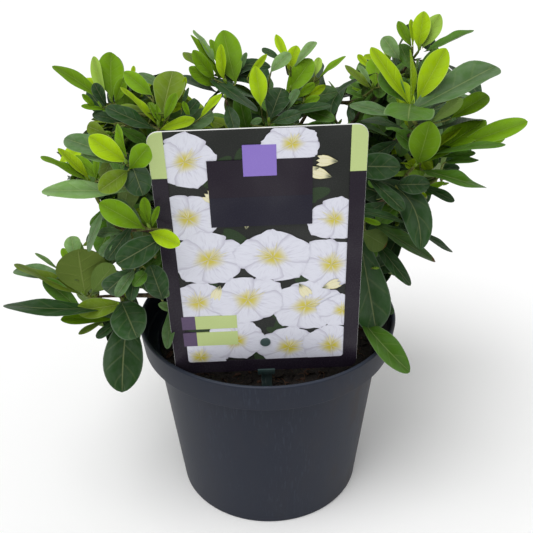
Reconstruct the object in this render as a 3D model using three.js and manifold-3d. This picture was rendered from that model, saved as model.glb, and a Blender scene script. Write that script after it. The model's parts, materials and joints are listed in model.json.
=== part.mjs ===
// A young evergreen azalea in its nursery pot, with a picture label standing in the compost.
// Millimetres, +Z up. The origin is the middle of the pot's flat underside.
// +Y points away from the side that the label faces.

import * as THREE from 'three';
import Module from 'manifold-3d';
import { mergeVertices } from 'three/addons/utils/BufferGeometryUtils.js';

const wasm = await Module();
wasm.setup();

// Driving dimensions

const POT = {
  height: 131,
  rimRadius: 85,
  collarRadius: 83,
  collarDepth: 18.5,
  wallTopRadius: 75,
  footRadius: 62.5,
  wall: 1.6,
  footRound: 1.5,
  lip: 0.8,
  facets: 40,
  drainHoles: 8,
  drainHoleRadius: 5,
  drainRingRadius: 46,
};

const COMPOST = { level: 109, roughness: 1.6, flatRadius: 22, rings: 4, edgeDepth: 3 };

// The card's foot is the middle of its lower edge.
// It leans towards its face, and is turned a little in its own plane and about the upright.

const CARD = {
  width: 109.5,
  height: 163,
  thickness: 0.8,
  cornerRadius: 6,
  holeRadius: 3.5,
  holeHeight: 23,
  foot: [-1.1, -57.5, 124.3],
  roll: THREE.MathUtils.degToRad(-1),
  lean: THREE.MathUtils.degToRad(8),
  turn: THREE.MathUtils.degToRad(1.4),
};

// The stick runs from above to below the card's lower edge, which its hook holds.
const STICK = { width: 6.5, thickness: 2.4, above: 30, below: 66, pegRadius: 3.1, pegHead: 1 };
const HOOK = { width: 10.6, height: 1.6, thickness: 1.2, shelf: 2.6 };

const TRUNK = {
  footRadius: 13,
  neckRadius: 9,
  topRadius: 10.5,
  height: 24,
  flareShare: 0.16,
  crown: 2.6,
  ridge: 0.06,
  lean: [2, 3],
  sides: 20,
};

const CLEARANCE = 0.3;
const PEG_SIDES = 14;
const LIMB_SIDES = 6;
const LIMB_STEP = 18;
const MASS_DETAIL = 3;
const SMALLEST_REACH = 20;
const TIP_WIDTH = 0.07;
const LUMPINESS = 0.13;

// Each mass of foliage: its middle, its half sizes, and the furthest leaf tips that it reaches.
// A mass beside or behind the label card is kept on its own side of it.
const MASSES = {
  left_low: {
    at: [-100, -48, 172], size: [34, 34, 27],
    tips: [[-157, -50, 168], [-144, -52, 198], [-90, -62, 109], [-126, -80, 152]],
  },
  left_mid: {
    at: [-78, -76, 230], size: [33, 33, 38], side: 'left',
    tips: [[-116, -70, 250], [-115, -68, 270], [-62, -108, 240], [-100, -84, 200]],
  },
  left_high: {
    at: [-76, -18, 274], size: [33, 36, 26], side: 'behind',
    tips: [[-116, -8, 297], [-84, -10, 307], [-50, -40, 300], [-92, 24, 288]],
  },
  side_left: {
    at: [-98, 16, 208], size: [34, 36, 34],
    tips: [[-130, 24, 214], [-122, 6, 190]],
  },
  top_left: {
    at: [-22, -2, 276], size: [33, 36, 28], side: 'behind',
    tips: [[-24, 8, 314], [-40, 6, 308], [-6, -46, 298], [-30, 38, 284]],
  },
  top_right: {
    at: [30, 0, 274], size: [30, 36, 28], side: 'behind',
    tips: [[8, 0, 314], [34, 2, 306], [54, -6, 300], [36, 40, 282]],
  },
  right_high: {
    at: [80, 10, 284], size: [29, 34, 26], side: 'right',
    tips: [[90, 2, 323], [100, 6, 318], [118, 4, 311], [58, 12, 302], [92, 50, 292]],
  },
  right_front: {
    at: [80, -64, 276], size: [34, 32, 28], side: 'right',
    tips: [[120, -64, 306], [90, -86, 304], [58, -74, 304], [84, -104, 274]],
  },
  right_mid: {
    at: [96, -50, 241], size: [29, 31, 25], side: 'right',
    tips: [[142, -50, 276], [126, -56, 240], [122, -20, 248], [108, -84, 236]],
  },
  right_low: {
    at: [62, -44, 186], size: [30, 28, 34], side: 'behind',
    tips: [[86, -58, 128], [100, -36, 196], [66, -56, 150]],
  },
  side_right: {
    at: [98, 14, 214], size: [36, 38, 34],
    tips: [[130, 22, 222], [122, 2, 196]],
  },
  back_left: {
    at: [-70, 66, 232], size: [50, 42, 38],
    tips: [[-114, 84, 246], [-84, 104, 252], [-52, 40, 262]],
  },
  back_mid: {
    at: [6, 80, 220], size: [46, 40, 40],
    tips: [[-8, 124, 238], [30, 116, 226], [6, 64, 260]],
  },
  back_right: {
    at: [80, 66, 238], size: [48, 42, 38],
    tips: [[122, 78, 254], [96, 104, 256], [60, 40, 268]],
  },
  back_low_left: {
    at: [-50, 78, 168], size: [50, 34, 32],
    tips: [[-92, 92, 164], [-50, 116, 152], [-84, 60, 180]],
  },
  back_low_right: {
    at: [50, 76, 170], size: [50, 34, 32],
    tips: [[94, 88, 168], [46, 116, 156], [88, 56, 184]],
  },
};

// Each bough: what it grows from and how far up that, its radii at both ends, and how steeply it sets out.
// On the trunk the start is a compass angle round its top, and the leader starts in the middle.
const BOUGHS = {
  left_low: { from: 'trunk', turn: 205, radii: [3.2, 1.8], rise: 0.6 },
  left_mid: { from: 'trunk', turn: 250, radii: [3.4, 1.9], rise: 0.75 },
  back_left: { from: 'trunk', turn: 150, radii: [3.4, 1.9], rise: 0.8 },
  back_mid: { from: 'trunk', turn: 95, radii: [3.2, 1.8], rise: 0.75 },
  back_right: { from: 'trunk', turn: 40, radii: [3.4, 1.9], rise: 0.8 },
  right_low: { from: 'trunk', turn: 320, radii: [3.2, 1.9], rise: 0.7 },
  top_left: { from: 'trunk', turn: null, radii: [3.6, 2.0], rise: 0.5 },
  right_mid: { from: 'trunk', turn: 355, radii: [3.4, 1.9], rise: 0.75 },
  side_left: { from: 'left_low', start: 0.3, radii: [2.2, 1.5], rise: 0.7 },
  side_right: { from: 'right_mid', start: 0.25, radii: [2.2, 1.5], rise: 0.7 },
  left_high: { from: 'back_left', start: 0.35, radii: [2.4, 1.6], rise: 0.7 },
  top_right: { from: 'top_left', start: 0.35, radii: [2.3, 1.6], rise: 0.6 },
  right_high: { from: 'back_right', start: 0.4, radii: [2.4, 1.6], rise: 0.7 },
  right_front: { from: 'right_mid', start: 0.55, radii: [2.2, 1.6], rise: 0.8 },
  back_low_left: { from: 'back_left', start: 0.22, radii: [2.0, 1.4], rise: 0.5 },
  back_low_right: { from: 'back_right', start: 0.22, radii: [2.0, 1.4], rise: 0.5 },
};

const MATERIALS = {
  pot: { color: 0x2b2f33, roughness: 0.55, metalness: 0 },
  compost: { color: 0x2a1b12, roughness: 0.98, metalness: 0 },
  bark: { color: 0x6b4a30, roughness: 0.9, metalness: 0 },
  youngLeaf: { color: 0x86a81c, roughness: 0.5, metalness: 0 },
  matureLeaf: { color: 0x35552c, roughness: 0.5, metalness: 0 },
  card: { color: 0x2c2530, roughness: 0.25, metalness: 0 },
  stick: { color: 0x27413f, roughness: 0.35, metalness: 0 },
};

const YOUNG_MASSES = [
  'left_mid',
  'left_high',
  'top_left',
  'top_right',
  'right_high',
  'right_front',
  'right_mid',
];

// Solids and meshes

// The welded positions and faces of a geometry, as a solid.
function solidFrom(geometry) {
  const bare = geometry.clone();
  bare.deleteAttribute('normal');
  bare.deleteAttribute('uv');
  const welded = mergeVertices(bare, 1e-4);
  return new wasm.Manifold(
    new wasm.Mesh({
      numProp: 3,
      vertProperties: new Float32Array(welded.attributes.position.array),
      triVerts: new Uint32Array(welded.index.array),
    }),
  );
}

function geometryFrom(solid) {
  const mesh = solid.getMesh();
  const geometry = new THREE.BufferGeometry();
  geometry.setAttribute('position', new THREE.BufferAttribute(new Float32Array(mesh.vertProperties), 3));
  geometry.setIndex(new THREE.BufferAttribute(new Uint32Array(mesh.triVerts), 1));
  geometry.computeVertexNormals();
  return geometry;
}

const largestPiece = (solid) =>
  solid.decompose().reduce((best, piece) => (piece.volume() > best.volume() ? piece : best));

// A profile of radius and height, turned round the pot's axis.
function turnedGeometry(profile, sides) {
  const points = profile.map(([r, z]) => new THREE.Vector2(r, z));
  return new THREE.LatheGeometry(points, sides).rotateX(Math.PI / 2);
}

const turned = (profile) => solidFrom(turnedGeometry(profile, POT.facets));

// Pot and compost

function potOutline(grow = 0) {
  const collarFoot = POT.height - POT.collarDepth;
  return {
    foot: POT.footRadius + grow,
    top: POT.wallTopRadius + grow,
    collar: POT.collarRadius + grow,
    rim: POT.rimRadius + grow,
    collarFoot: collarFoot - grow,
    height: POT.height + grow,
  };
}

function innerRadius(z) {
  const share = (z - POT.wall) / (POT.height - POT.collarDepth - POT.wall);
  return THREE.MathUtils.lerp(POT.footRadius, POT.wallTopRadius, share) - POT.wall;
}

function potSolid() {
  const o = potOutline();
  const shelf = o.collarFoot + POT.wall;
  const profile = [
    [0, 0],
    [o.foot - POT.footRound, 0],
    [o.foot, POT.footRound],
    [o.top, o.collarFoot],
    [o.collar, o.collarFoot],
    [o.rim, o.height - POT.lip],
    [o.rim - POT.lip, o.height],
    [o.rim - POT.wall - POT.lip / 2, o.height],
    [o.rim - POT.wall - POT.lip, o.height - POT.lip],
    [o.collar - POT.wall, shelf],
    [innerRadius(shelf), shelf],
    [innerRadius(POT.wall), POT.wall],
    [0, POT.wall],
  ];
  let pot = turned(profile);
  const drill = new THREE.CylinderGeometry(POT.drainHoleRadius, POT.drainHoleRadius, 4 * POT.wall, PEG_SIDES);
  drill.rotateX(Math.PI / 2).translate(POT.drainRingRadius, 0, 0);
  for (let i = 0; i < POT.drainHoles; i++) {
    pot = pot.subtract(solidFrom(drill.clone().rotateZ((i / POT.drainHoles) * 2 * Math.PI)));
  }
  return pot;
}

// Everything within the pot's outline, up to its rim, for clearing the foliage and the boughs.
function potEnvelope() {
  const o = potOutline(2 * CLEARANCE);
  return turned([
    [0, 0],
    [o.foot, 0],
    [o.top, o.collarFoot],
    [o.collar, o.collarFoot],
    [o.rim, o.height],
    [0, o.height],
  ]);
}

// The surface rises and falls a little, but is level round the trunk.
function compostLevel(x, y) {
  const away = THREE.MathUtils.smoothstep(Math.hypot(x, y), COMPOST.flatRadius, 2 * COMPOST.flatRadius);
  const wave = Math.sin(x / 9.5) * Math.cos(y / 7.8) + 0.6 * Math.sin((x + 2 * y) / 13);
  return COMPOST.level + away * COMPOST.roughness * wave;
}

function compostSolid() {
  const floor = POT.wall + CLEARANCE;
  const edge = COMPOST.level - COMPOST.edgeDepth;
  const surfaceRadius = innerRadius(edge) - CLEARANCE;
  const profile = [
    [0, floor],
    [innerRadius(floor) - CLEARANCE, floor],
    [surfaceRadius, edge],
  ];
  for (let i = 0; i < COMPOST.rings; i++) {
    profile.push([THREE.MathUtils.lerp(surfaceRadius, COMPOST.flatRadius, i / (COMPOST.rings - 1)), COMPOST.level]);
  }
  profile.push([0, COMPOST.level]);
  const geometry = turnedGeometry(profile, POT.facets);
  const position = geometry.attributes.position;
  for (let i = 0; i < position.count; i++) {
    if (position.getZ(i) > COMPOST.level - CLEARANCE) {
      position.setZ(i, compostLevel(position.getX(i), position.getY(i)));
    }
  }
  return solidFrom(geometry);
}

// Label

// Places a shape that is drawn flat, x across the card and y up it, with its face towards -Y.
function onCard(geometry) {
  return geometry
    .rotateX(Math.PI / 2)
    .rotateY(CARD.roll)
    .rotateX(CARD.lean)
    .rotateZ(CARD.turn)
    .translate(...CARD.foot);
}

function cardSolid(grow = 0) {
  const half = CARD.width / 2 + grow;
  const top = CARD.height + grow;
  const r = CARD.cornerRadius;
  const outline = new THREE.Shape();
  outline.moveTo(-half + r, -grow);
  outline.lineTo(half - r, -grow).absarc(half - r, r - grow, r, -Math.PI / 2, 0);
  outline.lineTo(half, top - r).absarc(half - r, top - r, r, 0, Math.PI / 2);
  outline.lineTo(-half + r, top).absarc(-half + r, top - r, r, Math.PI / 2, Math.PI);
  outline.lineTo(-half, r - grow).absarc(-half + r, r - grow, r, Math.PI, 1.5 * Math.PI);
  if (!grow) {
    outline.holes.push(new THREE.Path().absarc(0, CARD.holeHeight, CARD.holeRadius, 0, 2 * Math.PI, true));
  }
  const depth = CARD.thickness + 2 * grow;
  const plate = new THREE.ExtrudeGeometry(outline, { depth, bevelEnabled: false, curveSegments: 5 });
  return solidFrom(onCard(plate.translate(0, 0, -depth / 2)));
}

function block(width, height, depth, x, y, z) {
  return solidFrom(onCard(new THREE.BoxGeometry(width, height, depth).translate(x, y, z)));
}

// A stake behind the card, with a peg through the card's hole and a hooked lip that holds its lower edge.
function stickSolid() {
  const back = -CARD.thickness / 2 - CLEARANCE;
  const front = CARD.thickness / 2 + CLEARANCE;
  const stake = block(STICK.width, STICK.above + STICK.below, STICK.thickness,
    0, (STICK.above - STICK.below) / 2, back - STICK.thickness / 2);
  const shelfDepth = front - back + HOOK.thickness + STICK.thickness / 2;
  const shelf = block(HOOK.width, HOOK.shelf, shelfDepth,
    0, -CLEARANCE - HOOK.shelf / 2, front + HOOK.thickness - shelfDepth / 2);
  const upstand = block(HOOK.width, HOOK.height + HOOK.shelf, HOOK.thickness,
    0, (HOOK.height - HOOK.shelf) / 2 - CLEARANCE, front + HOOK.thickness / 2);
  const pegLength = front - back + STICK.pegHead + STICK.thickness / 2;
  const peg = new THREE.CylinderGeometry(STICK.pegRadius, STICK.pegRadius, pegLength, PEG_SIDES)
    .rotateX(Math.PI / 2)
    .translate(0, CARD.holeHeight, front + STICK.pegHead - pegLength / 2);
  return stake.add(shelf).add(upstand).add(solidFrom(onCard(peg)));
}

// The planes that foliage behind the card, or beside it on the left or the right, stays clear of.
const CARD_ROOM = { behind: 3, left: 6, right: 2 };
const cardNormal = new THREE.Vector3(0, -Math.cos(CARD.lean), -Math.sin(CARD.lean))
  .applyAxisAngle(new THREE.Vector3(0, 0, 1), CARD.turn);
const cardFoot = new THREE.Vector3(...CARD.foot);

const SIDE_PLANES = {
  behind: {
    normal: cardNormal,
    at: cardFoot.clone().addScaledVector(cardNormal, -CARD_ROOM.behind),
  },
  left: {
    normal: new THREE.Vector3(1, 0, 0),
    at: new THREE.Vector3(CARD.foot[0] - CARD.width / 2 - CARD_ROOM.left, 0, 0),
  },
  right: {
    normal: new THREE.Vector3(-1, 0, 0),
    at: new THREE.Vector3(CARD.foot[0] + CARD.width / 2 + CARD_ROOM.right, 0, 0),
  },
};

// Limbs

// A closed tapering tube along a curve. The radius function takes the share of the way along it.
function limbSolid(curve, radiusAt, sides, steps) {
  const frames = curve.computeFrenetFrames(steps, false);
  const positions = [];
  const index = [];
  for (let i = 0; i <= steps; i++) {
    const centre = curve.getPointAt(i / steps);
    for (let j = 0; j < sides; j++) {
      const angle = (j / sides) * 2 * Math.PI;
      const point = centre.clone()
        .addScaledVector(frames.normals[i], Math.cos(angle) * radiusAt(i / steps))
        .addScaledVector(frames.binormals[i], Math.sin(angle) * radiusAt(i / steps));
      positions.push(...point.toArray());
    }
  }
  for (let i = 0; i < steps; i++) {
    for (let j = 0; j < sides; j++) {
      const a = i * sides + j;
      const b = i * sides + ((j + 1) % sides);
      index.push(a, b, b + sides, a, b + sides, a + sides);
    }
  }
  const first = positions.length / 3;
  positions.push(...curve.getPointAt(0).toArray(), ...curve.getPointAt(1).toArray());
  for (let j = 0; j < sides; j++) {
    const k = (j + 1) % sides;
    index.push(first, k, j, first + 1, steps * sides + j, steps * sides + k);
  }
  const geometry = new THREE.BufferGeometry();
  geometry.setAttribute('position', new THREE.Float32BufferAttribute(positions, 3));
  geometry.setIndex(index);
  return solidFrom(geometry);
}

const trunkFoot = new THREE.Vector3(0, 0, COMPOST.level + CLEARANCE);
const trunkTop = new THREE.Vector3(...TRUNK.lean, trunkFoot.z + TRUNK.height);

// The trunk flares out at its flat foot and swells again where the boughs leave it.
function trunkRadius(share) {
  const flare = Math.exp(-share / TRUNK.flareShare);
  const swell = THREE.MathUtils.smoothstep(share, 0.5, 1);
  return TRUNK.neckRadius
    + (TRUNK.footRadius - TRUNK.neckRadius) * flare
    + (TRUNK.topRadius - TRUNK.neckRadius) * swell;
}

function trunkSolid(grow = 0) {
  const steps = 6;
  const profile = [[0, 0]];
  for (let i = 0; i <= steps; i++) {
    profile.push([trunkRadius(i / steps) + grow, (i / steps) * TRUNK.height]);
  }
  profile.push([0.75 * TRUNK.topRadius + grow, TRUNK.height + 0.8 * TRUNK.crown + grow]);
  profile.push([0, TRUNK.height + TRUNK.crown + grow]);
  const lathe = turnedGeometry(profile, TRUNK.sides);
  const position = lathe.attributes.position;
  for (let i = 0; i < position.count; i++) {
    const share = position.getZ(i) / TRUNK.height;
    const ridge = 1 + TRUNK.ridge * Math.sin(3 * Math.atan2(position.getY(i), position.getX(i)));
    position.setX(i, position.getX(i) * ridge + TRUNK.lean[0] * share);
    position.setY(i, position.getY(i) * ridge + TRUNK.lean[1] * share);
  }
  return solidFrom(lathe.translate(0, 0, trunkFoot.z));
}

const boughCurves = {};

function boughCurve(name) {
  const bough = BOUGHS[name];
  const end = new THREE.Vector3(...MASSES[name].at);
  let start;
  if (bough.from === 'trunk') {
    const turn = THREE.MathUtils.degToRad(bough.turn ?? 0);
    const ring = bough.turn === null ? 0 : TRUNK.topRadius * 0.72;
    start = trunkTop.clone().add(new THREE.Vector3(ring * Math.cos(turn), ring * Math.sin(turn), -4));
  } else {
    start = boughCurves[bough.from].getPointAt(bough.start);
  }
  const span = end.clone().sub(start);
  const elbow = start.clone().add(new THREE.Vector3(0.3 * span.x, 0.3 * span.y, bough.rise * span.z));
  return new THREE.QuadraticBezierCurve3(start, elbow, end);
}

function boughSolid(curve, radii, grow = 0) {
  const steps = Math.max(5, Math.round(curve.getLength() / LIMB_STEP));
  return limbSolid(curve, (share) => THREE.MathUtils.lerp(...radii, share) + grow, LIMB_SIDES, steps);
}

// Foliage

// How far the plain egg of a mass reaches in a direction.
function eggRadius(size, direction) {
  return 1 / Math.hypot(direction.x / size[0], direction.y / size[1], direction.z / size[2]);
}

// The planes that keep a mass off its neighbours and on its own side of the label card.
function planesAround(name) {
  const middle = new THREE.Vector3(...MASSES[name].at);
  const planes = [];
  for (const [other, mass] of Object.entries(MASSES)) {
    if (other === name) continue;
    const across = new THREE.Vector3(...mass.at).sub(middle);
    const distance = across.length();
    across.normalize();
    const mine = eggRadius(MASSES[name].size, across);
    const theirs = eggRadius(mass.size, across.clone().negate());
    const share = mine / (mine + theirs);
    planes.push({ normal: across, offset: distance * share - CLEARANCE });
  }
  const side = SIDE_PLANES[MASSES[name].side];
  if (side) {
    planes.push({ normal: side.normal, offset: side.at.clone().sub(middle).dot(side.normal) });
  }
  return planes;
}

// An egg that swells out to each of its leaf tips, roughened where the shoots stand.
function massSolid(name) {
  const { at, size, tips } = MASSES[name];
  const middle = new THREE.Vector3(...at);
  const reaches = tips.map((tip) => {
    const out = new THREE.Vector3(...tip).sub(middle);
    return { direction: out.clone().normalize(), length: out.length() };
  });
  const planes = planesAround(name);
  const geometry = new THREE.IcosahedronGeometry(1, MASS_DETAIL);
  const corner = new THREE.Vector3().fromBufferAttribute(geometry.attributes.position, 0);
  geometry.applyQuaternion(new THREE.Quaternion().setFromUnitVectors(corner.normalize(), reaches[0].direction));
  const position = geometry.attributes.position;
  const point = new THREE.Vector3();
  for (let i = 0; i < position.count; i++) {
    point.fromBufferAttribute(position, i).normalize();
    const egg = eggRadius(size, point);
    const lumps = Math.sin(4.6 * point.x + at[0]) * Math.sin(4.2 * point.y + at[1])
      + Math.sin(4.9 * point.z + at[2]) * Math.sin(3.8 * (point.x - point.y) + at[0]);
    let radius = egg * (1 + LUMPINESS * lumps);
    for (const { direction, length } of reaches) {
      const near = Math.exp(-(1 - point.dot(direction)) / TIP_WIDTH);
      radius = Math.max(radius, THREE.MathUtils.lerp(egg, length, near));
    }
    for (const { normal, offset } of planes) {
      const facing = point.dot(normal);
      if (facing > 0) radius = Math.min(radius, offset / facing);
    }
    point.multiplyScalar(radius).add(middle);
    position.setXYZ(i, point.x, point.y, point.z);
  }
  return solidFrom(geometry);
}

// Assembly

const azalea = new THREE.Group();

function addPiece(name, solid, look) {
  const material = new THREE.MeshStandardMaterial({ ...MATERIALS[look], flatShading: true });
  const mesh = new THREE.Mesh(geometryFrom(solid), material);
  mesh.name = name;
  azalea.add(mesh);
}

const stick = stickSolid();
const stickRoom = block(
  STICK.width + 2 * CLEARANCE,
  STICK.above + STICK.below + 2 * CLEARANCE,
  STICK.thickness + 2 * CLEARANCE,
  0,
  (STICK.above - STICK.below) / 2,
  -CARD.thickness / 2 - CLEARANCE - STICK.thickness / 2,
);
const trunk = trunkSolid();
const potSpace = potEnvelope();
const cardSpace = cardSolid(1);

const masses = {};
for (const name of Object.keys(MASSES)) {
  masses[name] = largestPiece(massSolid(name).subtract(potSpace).subtract(cardSpace));
}

// A bough stops short of the trunk or bough that it grows from, and of the mass that it feeds.
// A mass that it only passes is cut round it.
const boughs = {};
for (const [name, bough] of Object.entries(BOUGHS)) {
  boughCurves[name] = boughCurve(name);
  const limb = boughSolid(boughCurves[name], bough.radii);
  const wide = boughSolid(boughCurves[name], bough.radii, CLEARANCE);
  for (const other of Object.keys(masses)) {
    if (other !== name) masses[other] = largestPiece(masses[other].subtract(wide));
  }
  boughs[name] = { limb, wide };
}

let standing = trunkSolid(CLEARANCE);
for (const name of Object.keys(BOUGHS)) {
  const fed = masses[name];
  const middle = new THREE.Vector3(...MASSES[name].at);
  const grown = 1 + CLEARANCE / SMALLEST_REACH;
  const room = fed.translate(middle.clone().negate().toArray())
    .scale(grown)
    .translate(middle.toArray());
  boughs[name].limb = largestPiece(boughs[name].limb.subtract(standing).subtract(room));
  standing = standing.add(boughs[name].wide);
}

addPiece('pot', potSolid(), 'pot');
addPiece('compost', compostSolid().subtract(stickRoom), 'compost');
addPiece('trunk', trunk, 'bark');
for (const name of Object.keys(BOUGHS)) {
  addPiece(`bough_${name}`, boughs[name].limb, 'bark');
}
for (const name of Object.keys(MASSES)) {
  addPiece(`foliage_${name}`, masses[name], YOUNG_MASSES.includes(name) ? 'youngLeaf' : 'matureLeaf');
}
addPiece('label_card', cardSolid(), 'card');
addPiece('label_stick', stick, 'stick');

export default azalea;
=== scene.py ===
import json
import math
from collections import namedtuple
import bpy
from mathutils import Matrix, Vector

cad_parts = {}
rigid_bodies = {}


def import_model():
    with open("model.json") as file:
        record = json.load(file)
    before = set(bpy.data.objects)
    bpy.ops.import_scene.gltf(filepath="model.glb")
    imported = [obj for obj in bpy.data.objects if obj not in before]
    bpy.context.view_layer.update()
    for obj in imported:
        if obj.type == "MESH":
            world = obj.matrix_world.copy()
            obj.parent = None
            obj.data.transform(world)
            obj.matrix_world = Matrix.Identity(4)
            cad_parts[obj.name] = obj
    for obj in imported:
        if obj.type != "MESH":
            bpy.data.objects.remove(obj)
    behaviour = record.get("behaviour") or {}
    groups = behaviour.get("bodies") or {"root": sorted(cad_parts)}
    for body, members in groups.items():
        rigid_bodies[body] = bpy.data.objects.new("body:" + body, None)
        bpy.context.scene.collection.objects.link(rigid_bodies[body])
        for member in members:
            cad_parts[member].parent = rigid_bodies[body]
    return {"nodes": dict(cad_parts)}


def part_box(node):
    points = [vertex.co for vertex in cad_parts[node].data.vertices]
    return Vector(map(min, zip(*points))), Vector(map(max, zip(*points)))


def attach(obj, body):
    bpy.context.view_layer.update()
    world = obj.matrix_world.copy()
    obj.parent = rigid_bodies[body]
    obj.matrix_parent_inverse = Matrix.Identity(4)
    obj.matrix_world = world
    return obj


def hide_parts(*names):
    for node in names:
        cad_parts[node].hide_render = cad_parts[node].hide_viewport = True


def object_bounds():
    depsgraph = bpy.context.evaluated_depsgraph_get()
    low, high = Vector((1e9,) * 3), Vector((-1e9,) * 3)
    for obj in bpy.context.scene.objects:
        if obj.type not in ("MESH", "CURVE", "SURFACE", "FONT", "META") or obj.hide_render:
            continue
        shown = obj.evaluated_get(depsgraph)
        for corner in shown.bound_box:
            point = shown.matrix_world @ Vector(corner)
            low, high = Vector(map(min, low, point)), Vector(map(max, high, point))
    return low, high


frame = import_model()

from types import SimpleNamespace

import bmesh
import bpy
import numpy as np
from bpy.props import FloatProperty, FloatVectorProperty, IntProperty, PointerProperty
from bpy.types import Operator, Panel, PropertyGroup
from mathutils import Matrix, Vector
from mathutils.geometry import tessellate_polygon

bl_info = {
    "name": "Potted azalea",
    "version": (1, 0, 0),
    "blender": (4, 5, 0),
    "location": "View3D > Sidebar > Azalea",
    "description": "An evergreen azalea in its nursery pot, with a picture label in the compost",
    "category": "Add Mesh",
}

# Lengths are in millimetres, and become metres where a mesh, a light or the camera is made.
# Pixels are those of the square photograph.

MM = 0.001
PICTURE = 533
SENSOR = 36
CAD_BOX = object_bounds()
LOWEST, HIGHEST = (np.array(corner) / MM for corner in CAD_BOX)
UV_NAME = "OFBake"

# Settings that a user would change


def colour(name, description, default):
    return FloatVectorProperty(name=name, description=description, default=default,
                               subtype="COLOR", min=0, max=1)


def amount(name, description, default, **more):
    return FloatProperty(name=name, description=description, default=default, **more)


def size(name, description, default):
    return amount(name, description, default * MM, unit="LENGTH")


def tilt(name, description, degrees):
    return amount(name, description, math.radians(degrees), subtype="ANGLE")


def whole(name, description, default):
    return IntProperty(name=name, description=description, default=default)


class StudioSettings(PropertyGroup):
    elevation: tilt("Elevation", "How far above the horizon the camera stands", 28.86)
    roll: tilt("Roll", "How far the camera is turned about its line of sight", -0.93)
    distance: size("Distance", "From the camera to the point that it looks at", 519)
    aim_height: size("Aim height", "Height of the point that the camera looks at", 164)
    lens: amount("Lens", "Focal length, for a sensor 36 mm wide", 54)
    sky: amount("Sky", "Strength of the even white light all round", 0.58)
    key: amount("Key", "Strength of the soft light above, in front and to the left", 1.85)
    softness: tilt("Softness", "How wide the soft light looks", 40)
    floor: colour("Floor", "Colour of the pale floor", (0.96, 0.96, 0.96))


class FoliageSettings(PropertyGroup):
    seed: whole("Seed", "Start of the random draws", 7)
    spacing: size("Spacing", "Least distance between the hearts of two shoots", 21.5)
    young: size("Young leaf", "Usual length of a young leaf", 26)
    mature: size("Mature leaf", "Usual length of a mature leaf", 37)
    thickness: size("Thickness", "Thickness of a leaf beside its midrib", 0.35)
    bright: colour("Bright", "Newest leaves, in full light", (0.27, 0.42, 0.002))
    fresh: colour("Fresh", "Young leaves", (0.13, 0.26, 0.003))
    pale: colour("Pale", "Thin yellow-green leaves", (0.27, 0.43, 0.05))
    mid: colour("Mid", "Leaves of middle age", (0.055, 0.145, 0.006))
    olive: colour("Olive", "Yellowish mature leaves", (0.115, 0.185, 0.006))
    grey: colour("Grey", "Mature leaves with a greyish bloom", (0.062, 0.135, 0.034))
    silver: colour("Silver", "Leaves with a pale bloom", (0.145, 0.27, 0.070))
    # The dark tone is old leaves' own darker green, and also painted shade for leaves deep in the crown
    dark: colour("Dark", "Old dark leaves", (0.015, 0.050, 0.009))
    worn: colour("Worn", "Old leaves with brown tips and spots", (0.04, 0.10, 0.015))
    under: colour("Underside", "Undersides of the leaves", (0.115, 0.175, 0.020))
    brown: colour("Brown", "Dry tips and spots", (0.13, 0.055, 0.018))


class LimbSettings(PropertyGroup):
    relief: amount("Relief", "Depth of the bark's ridges, as a share of the radius", 0.07,
                   subtype="FACTOR", min=0, max=0.3)
    light: colour("Light bark", "Ridges of the bark", (0.115, 0.082, 0.034))
    dark: colour("Dark bark", "Furrows of the bark", (0.026, 0.017, 0.009))
    twig: colour("Brown twig", "Older twigs", (0.14, 0.105, 0.034))
    shoot: colour("Green twig", "This year's twigs", (0.17, 0.20, 0.030))
    bud: colour("Bud", "Buds in the hearts of the shoots", (0.19, 0.33, 0.012))


class PotSettings(PropertyGroup):
    plastic: colour("Plastic", "Colour of the clean plastic", (0.010, 0.014, 0.027))
    # Also the colour of the painted highlight along the top of the rim
    scuff: colour("Scuff", "Pale upright scuffs", (0.034, 0.042, 0.062))
    dust: colour("Dust", "Dried soil on the wall", (0.070, 0.052, 0.038))
    roughness: amount("Roughness", "Roughness of the clean plastic", 0.5, subtype="FACTOR", min=0, max=1)


class CompostSettings(PropertyGroup):
    peat: colour("Peat", "Dark moist peat", (0.004, 0.0025, 0.0018))
    crumb: colour("Crumb", "Paler crumbs of peat", (0.014, 0.007, 0.004))
    bark: colour("Bark chip", "Chips of bark", (0.065, 0.024, 0.010))
    fibre: colour("Fibre", "Fibres", (0.10, 0.045, 0.018))
    chips: whole("Chips", "How many chips lie on the surface", 620)
    fibres: whole("Fibres", "How many fibres lie on the surface", 180)


class LabelSettings(PropertyGroup):
    border: colour("Border", "Plum-black border and title panel", (0.017, 0.012, 0.021))
    panel: colour("Panel", "Lower half of the title panel", (0.015, 0.014, 0.026))
    tab: colour("Tab", "Pale green bars and strips", (0.52, 0.63, 0.26))
    patch: colour("Patch", "Plain lilac square", (0.27, 0.185, 0.58))
    square: colour("Small square", "Small squares beside the strips", (0.115, 0.078, 0.15))
    ground: colour("Ground", "Dark ground of the picture", (0.020, 0.022, 0.020))
    leaf: colour("Leaf", "Printed leaves", (0.028, 0.050, 0.022))
    petal: colour("Petal", "Printed petals", (0.72, 0.73, 0.82))
    shade: colour("Petal shade", "Shaded parts of the petals", (0.42, 0.40, 0.50))
    throat: colour("Throat", "Throats of the printed blossoms", (0.60, 0.52, 0.06))
    sheet: colour("Sheet", "Unprinted edge and back of the card", (0.80, 0.81, 0.80))
    stake: colour("Stake", "Plastic of the stake", (0.030, 0.060, 0.058))


class AzaleaSettings(PropertyGroup):
    studio: PointerProperty(type=StudioSettings)
    foliage: PointerProperty(type=FoliageSettings)
    limbs: PointerProperty(type=LimbSettings)
    pot: PointerProperty(type=PotSettings)
    compost: PointerProperty(type=CompostSettings)
    label: PointerProperty(type=LabelSettings)


# The camera of the photograph


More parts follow.
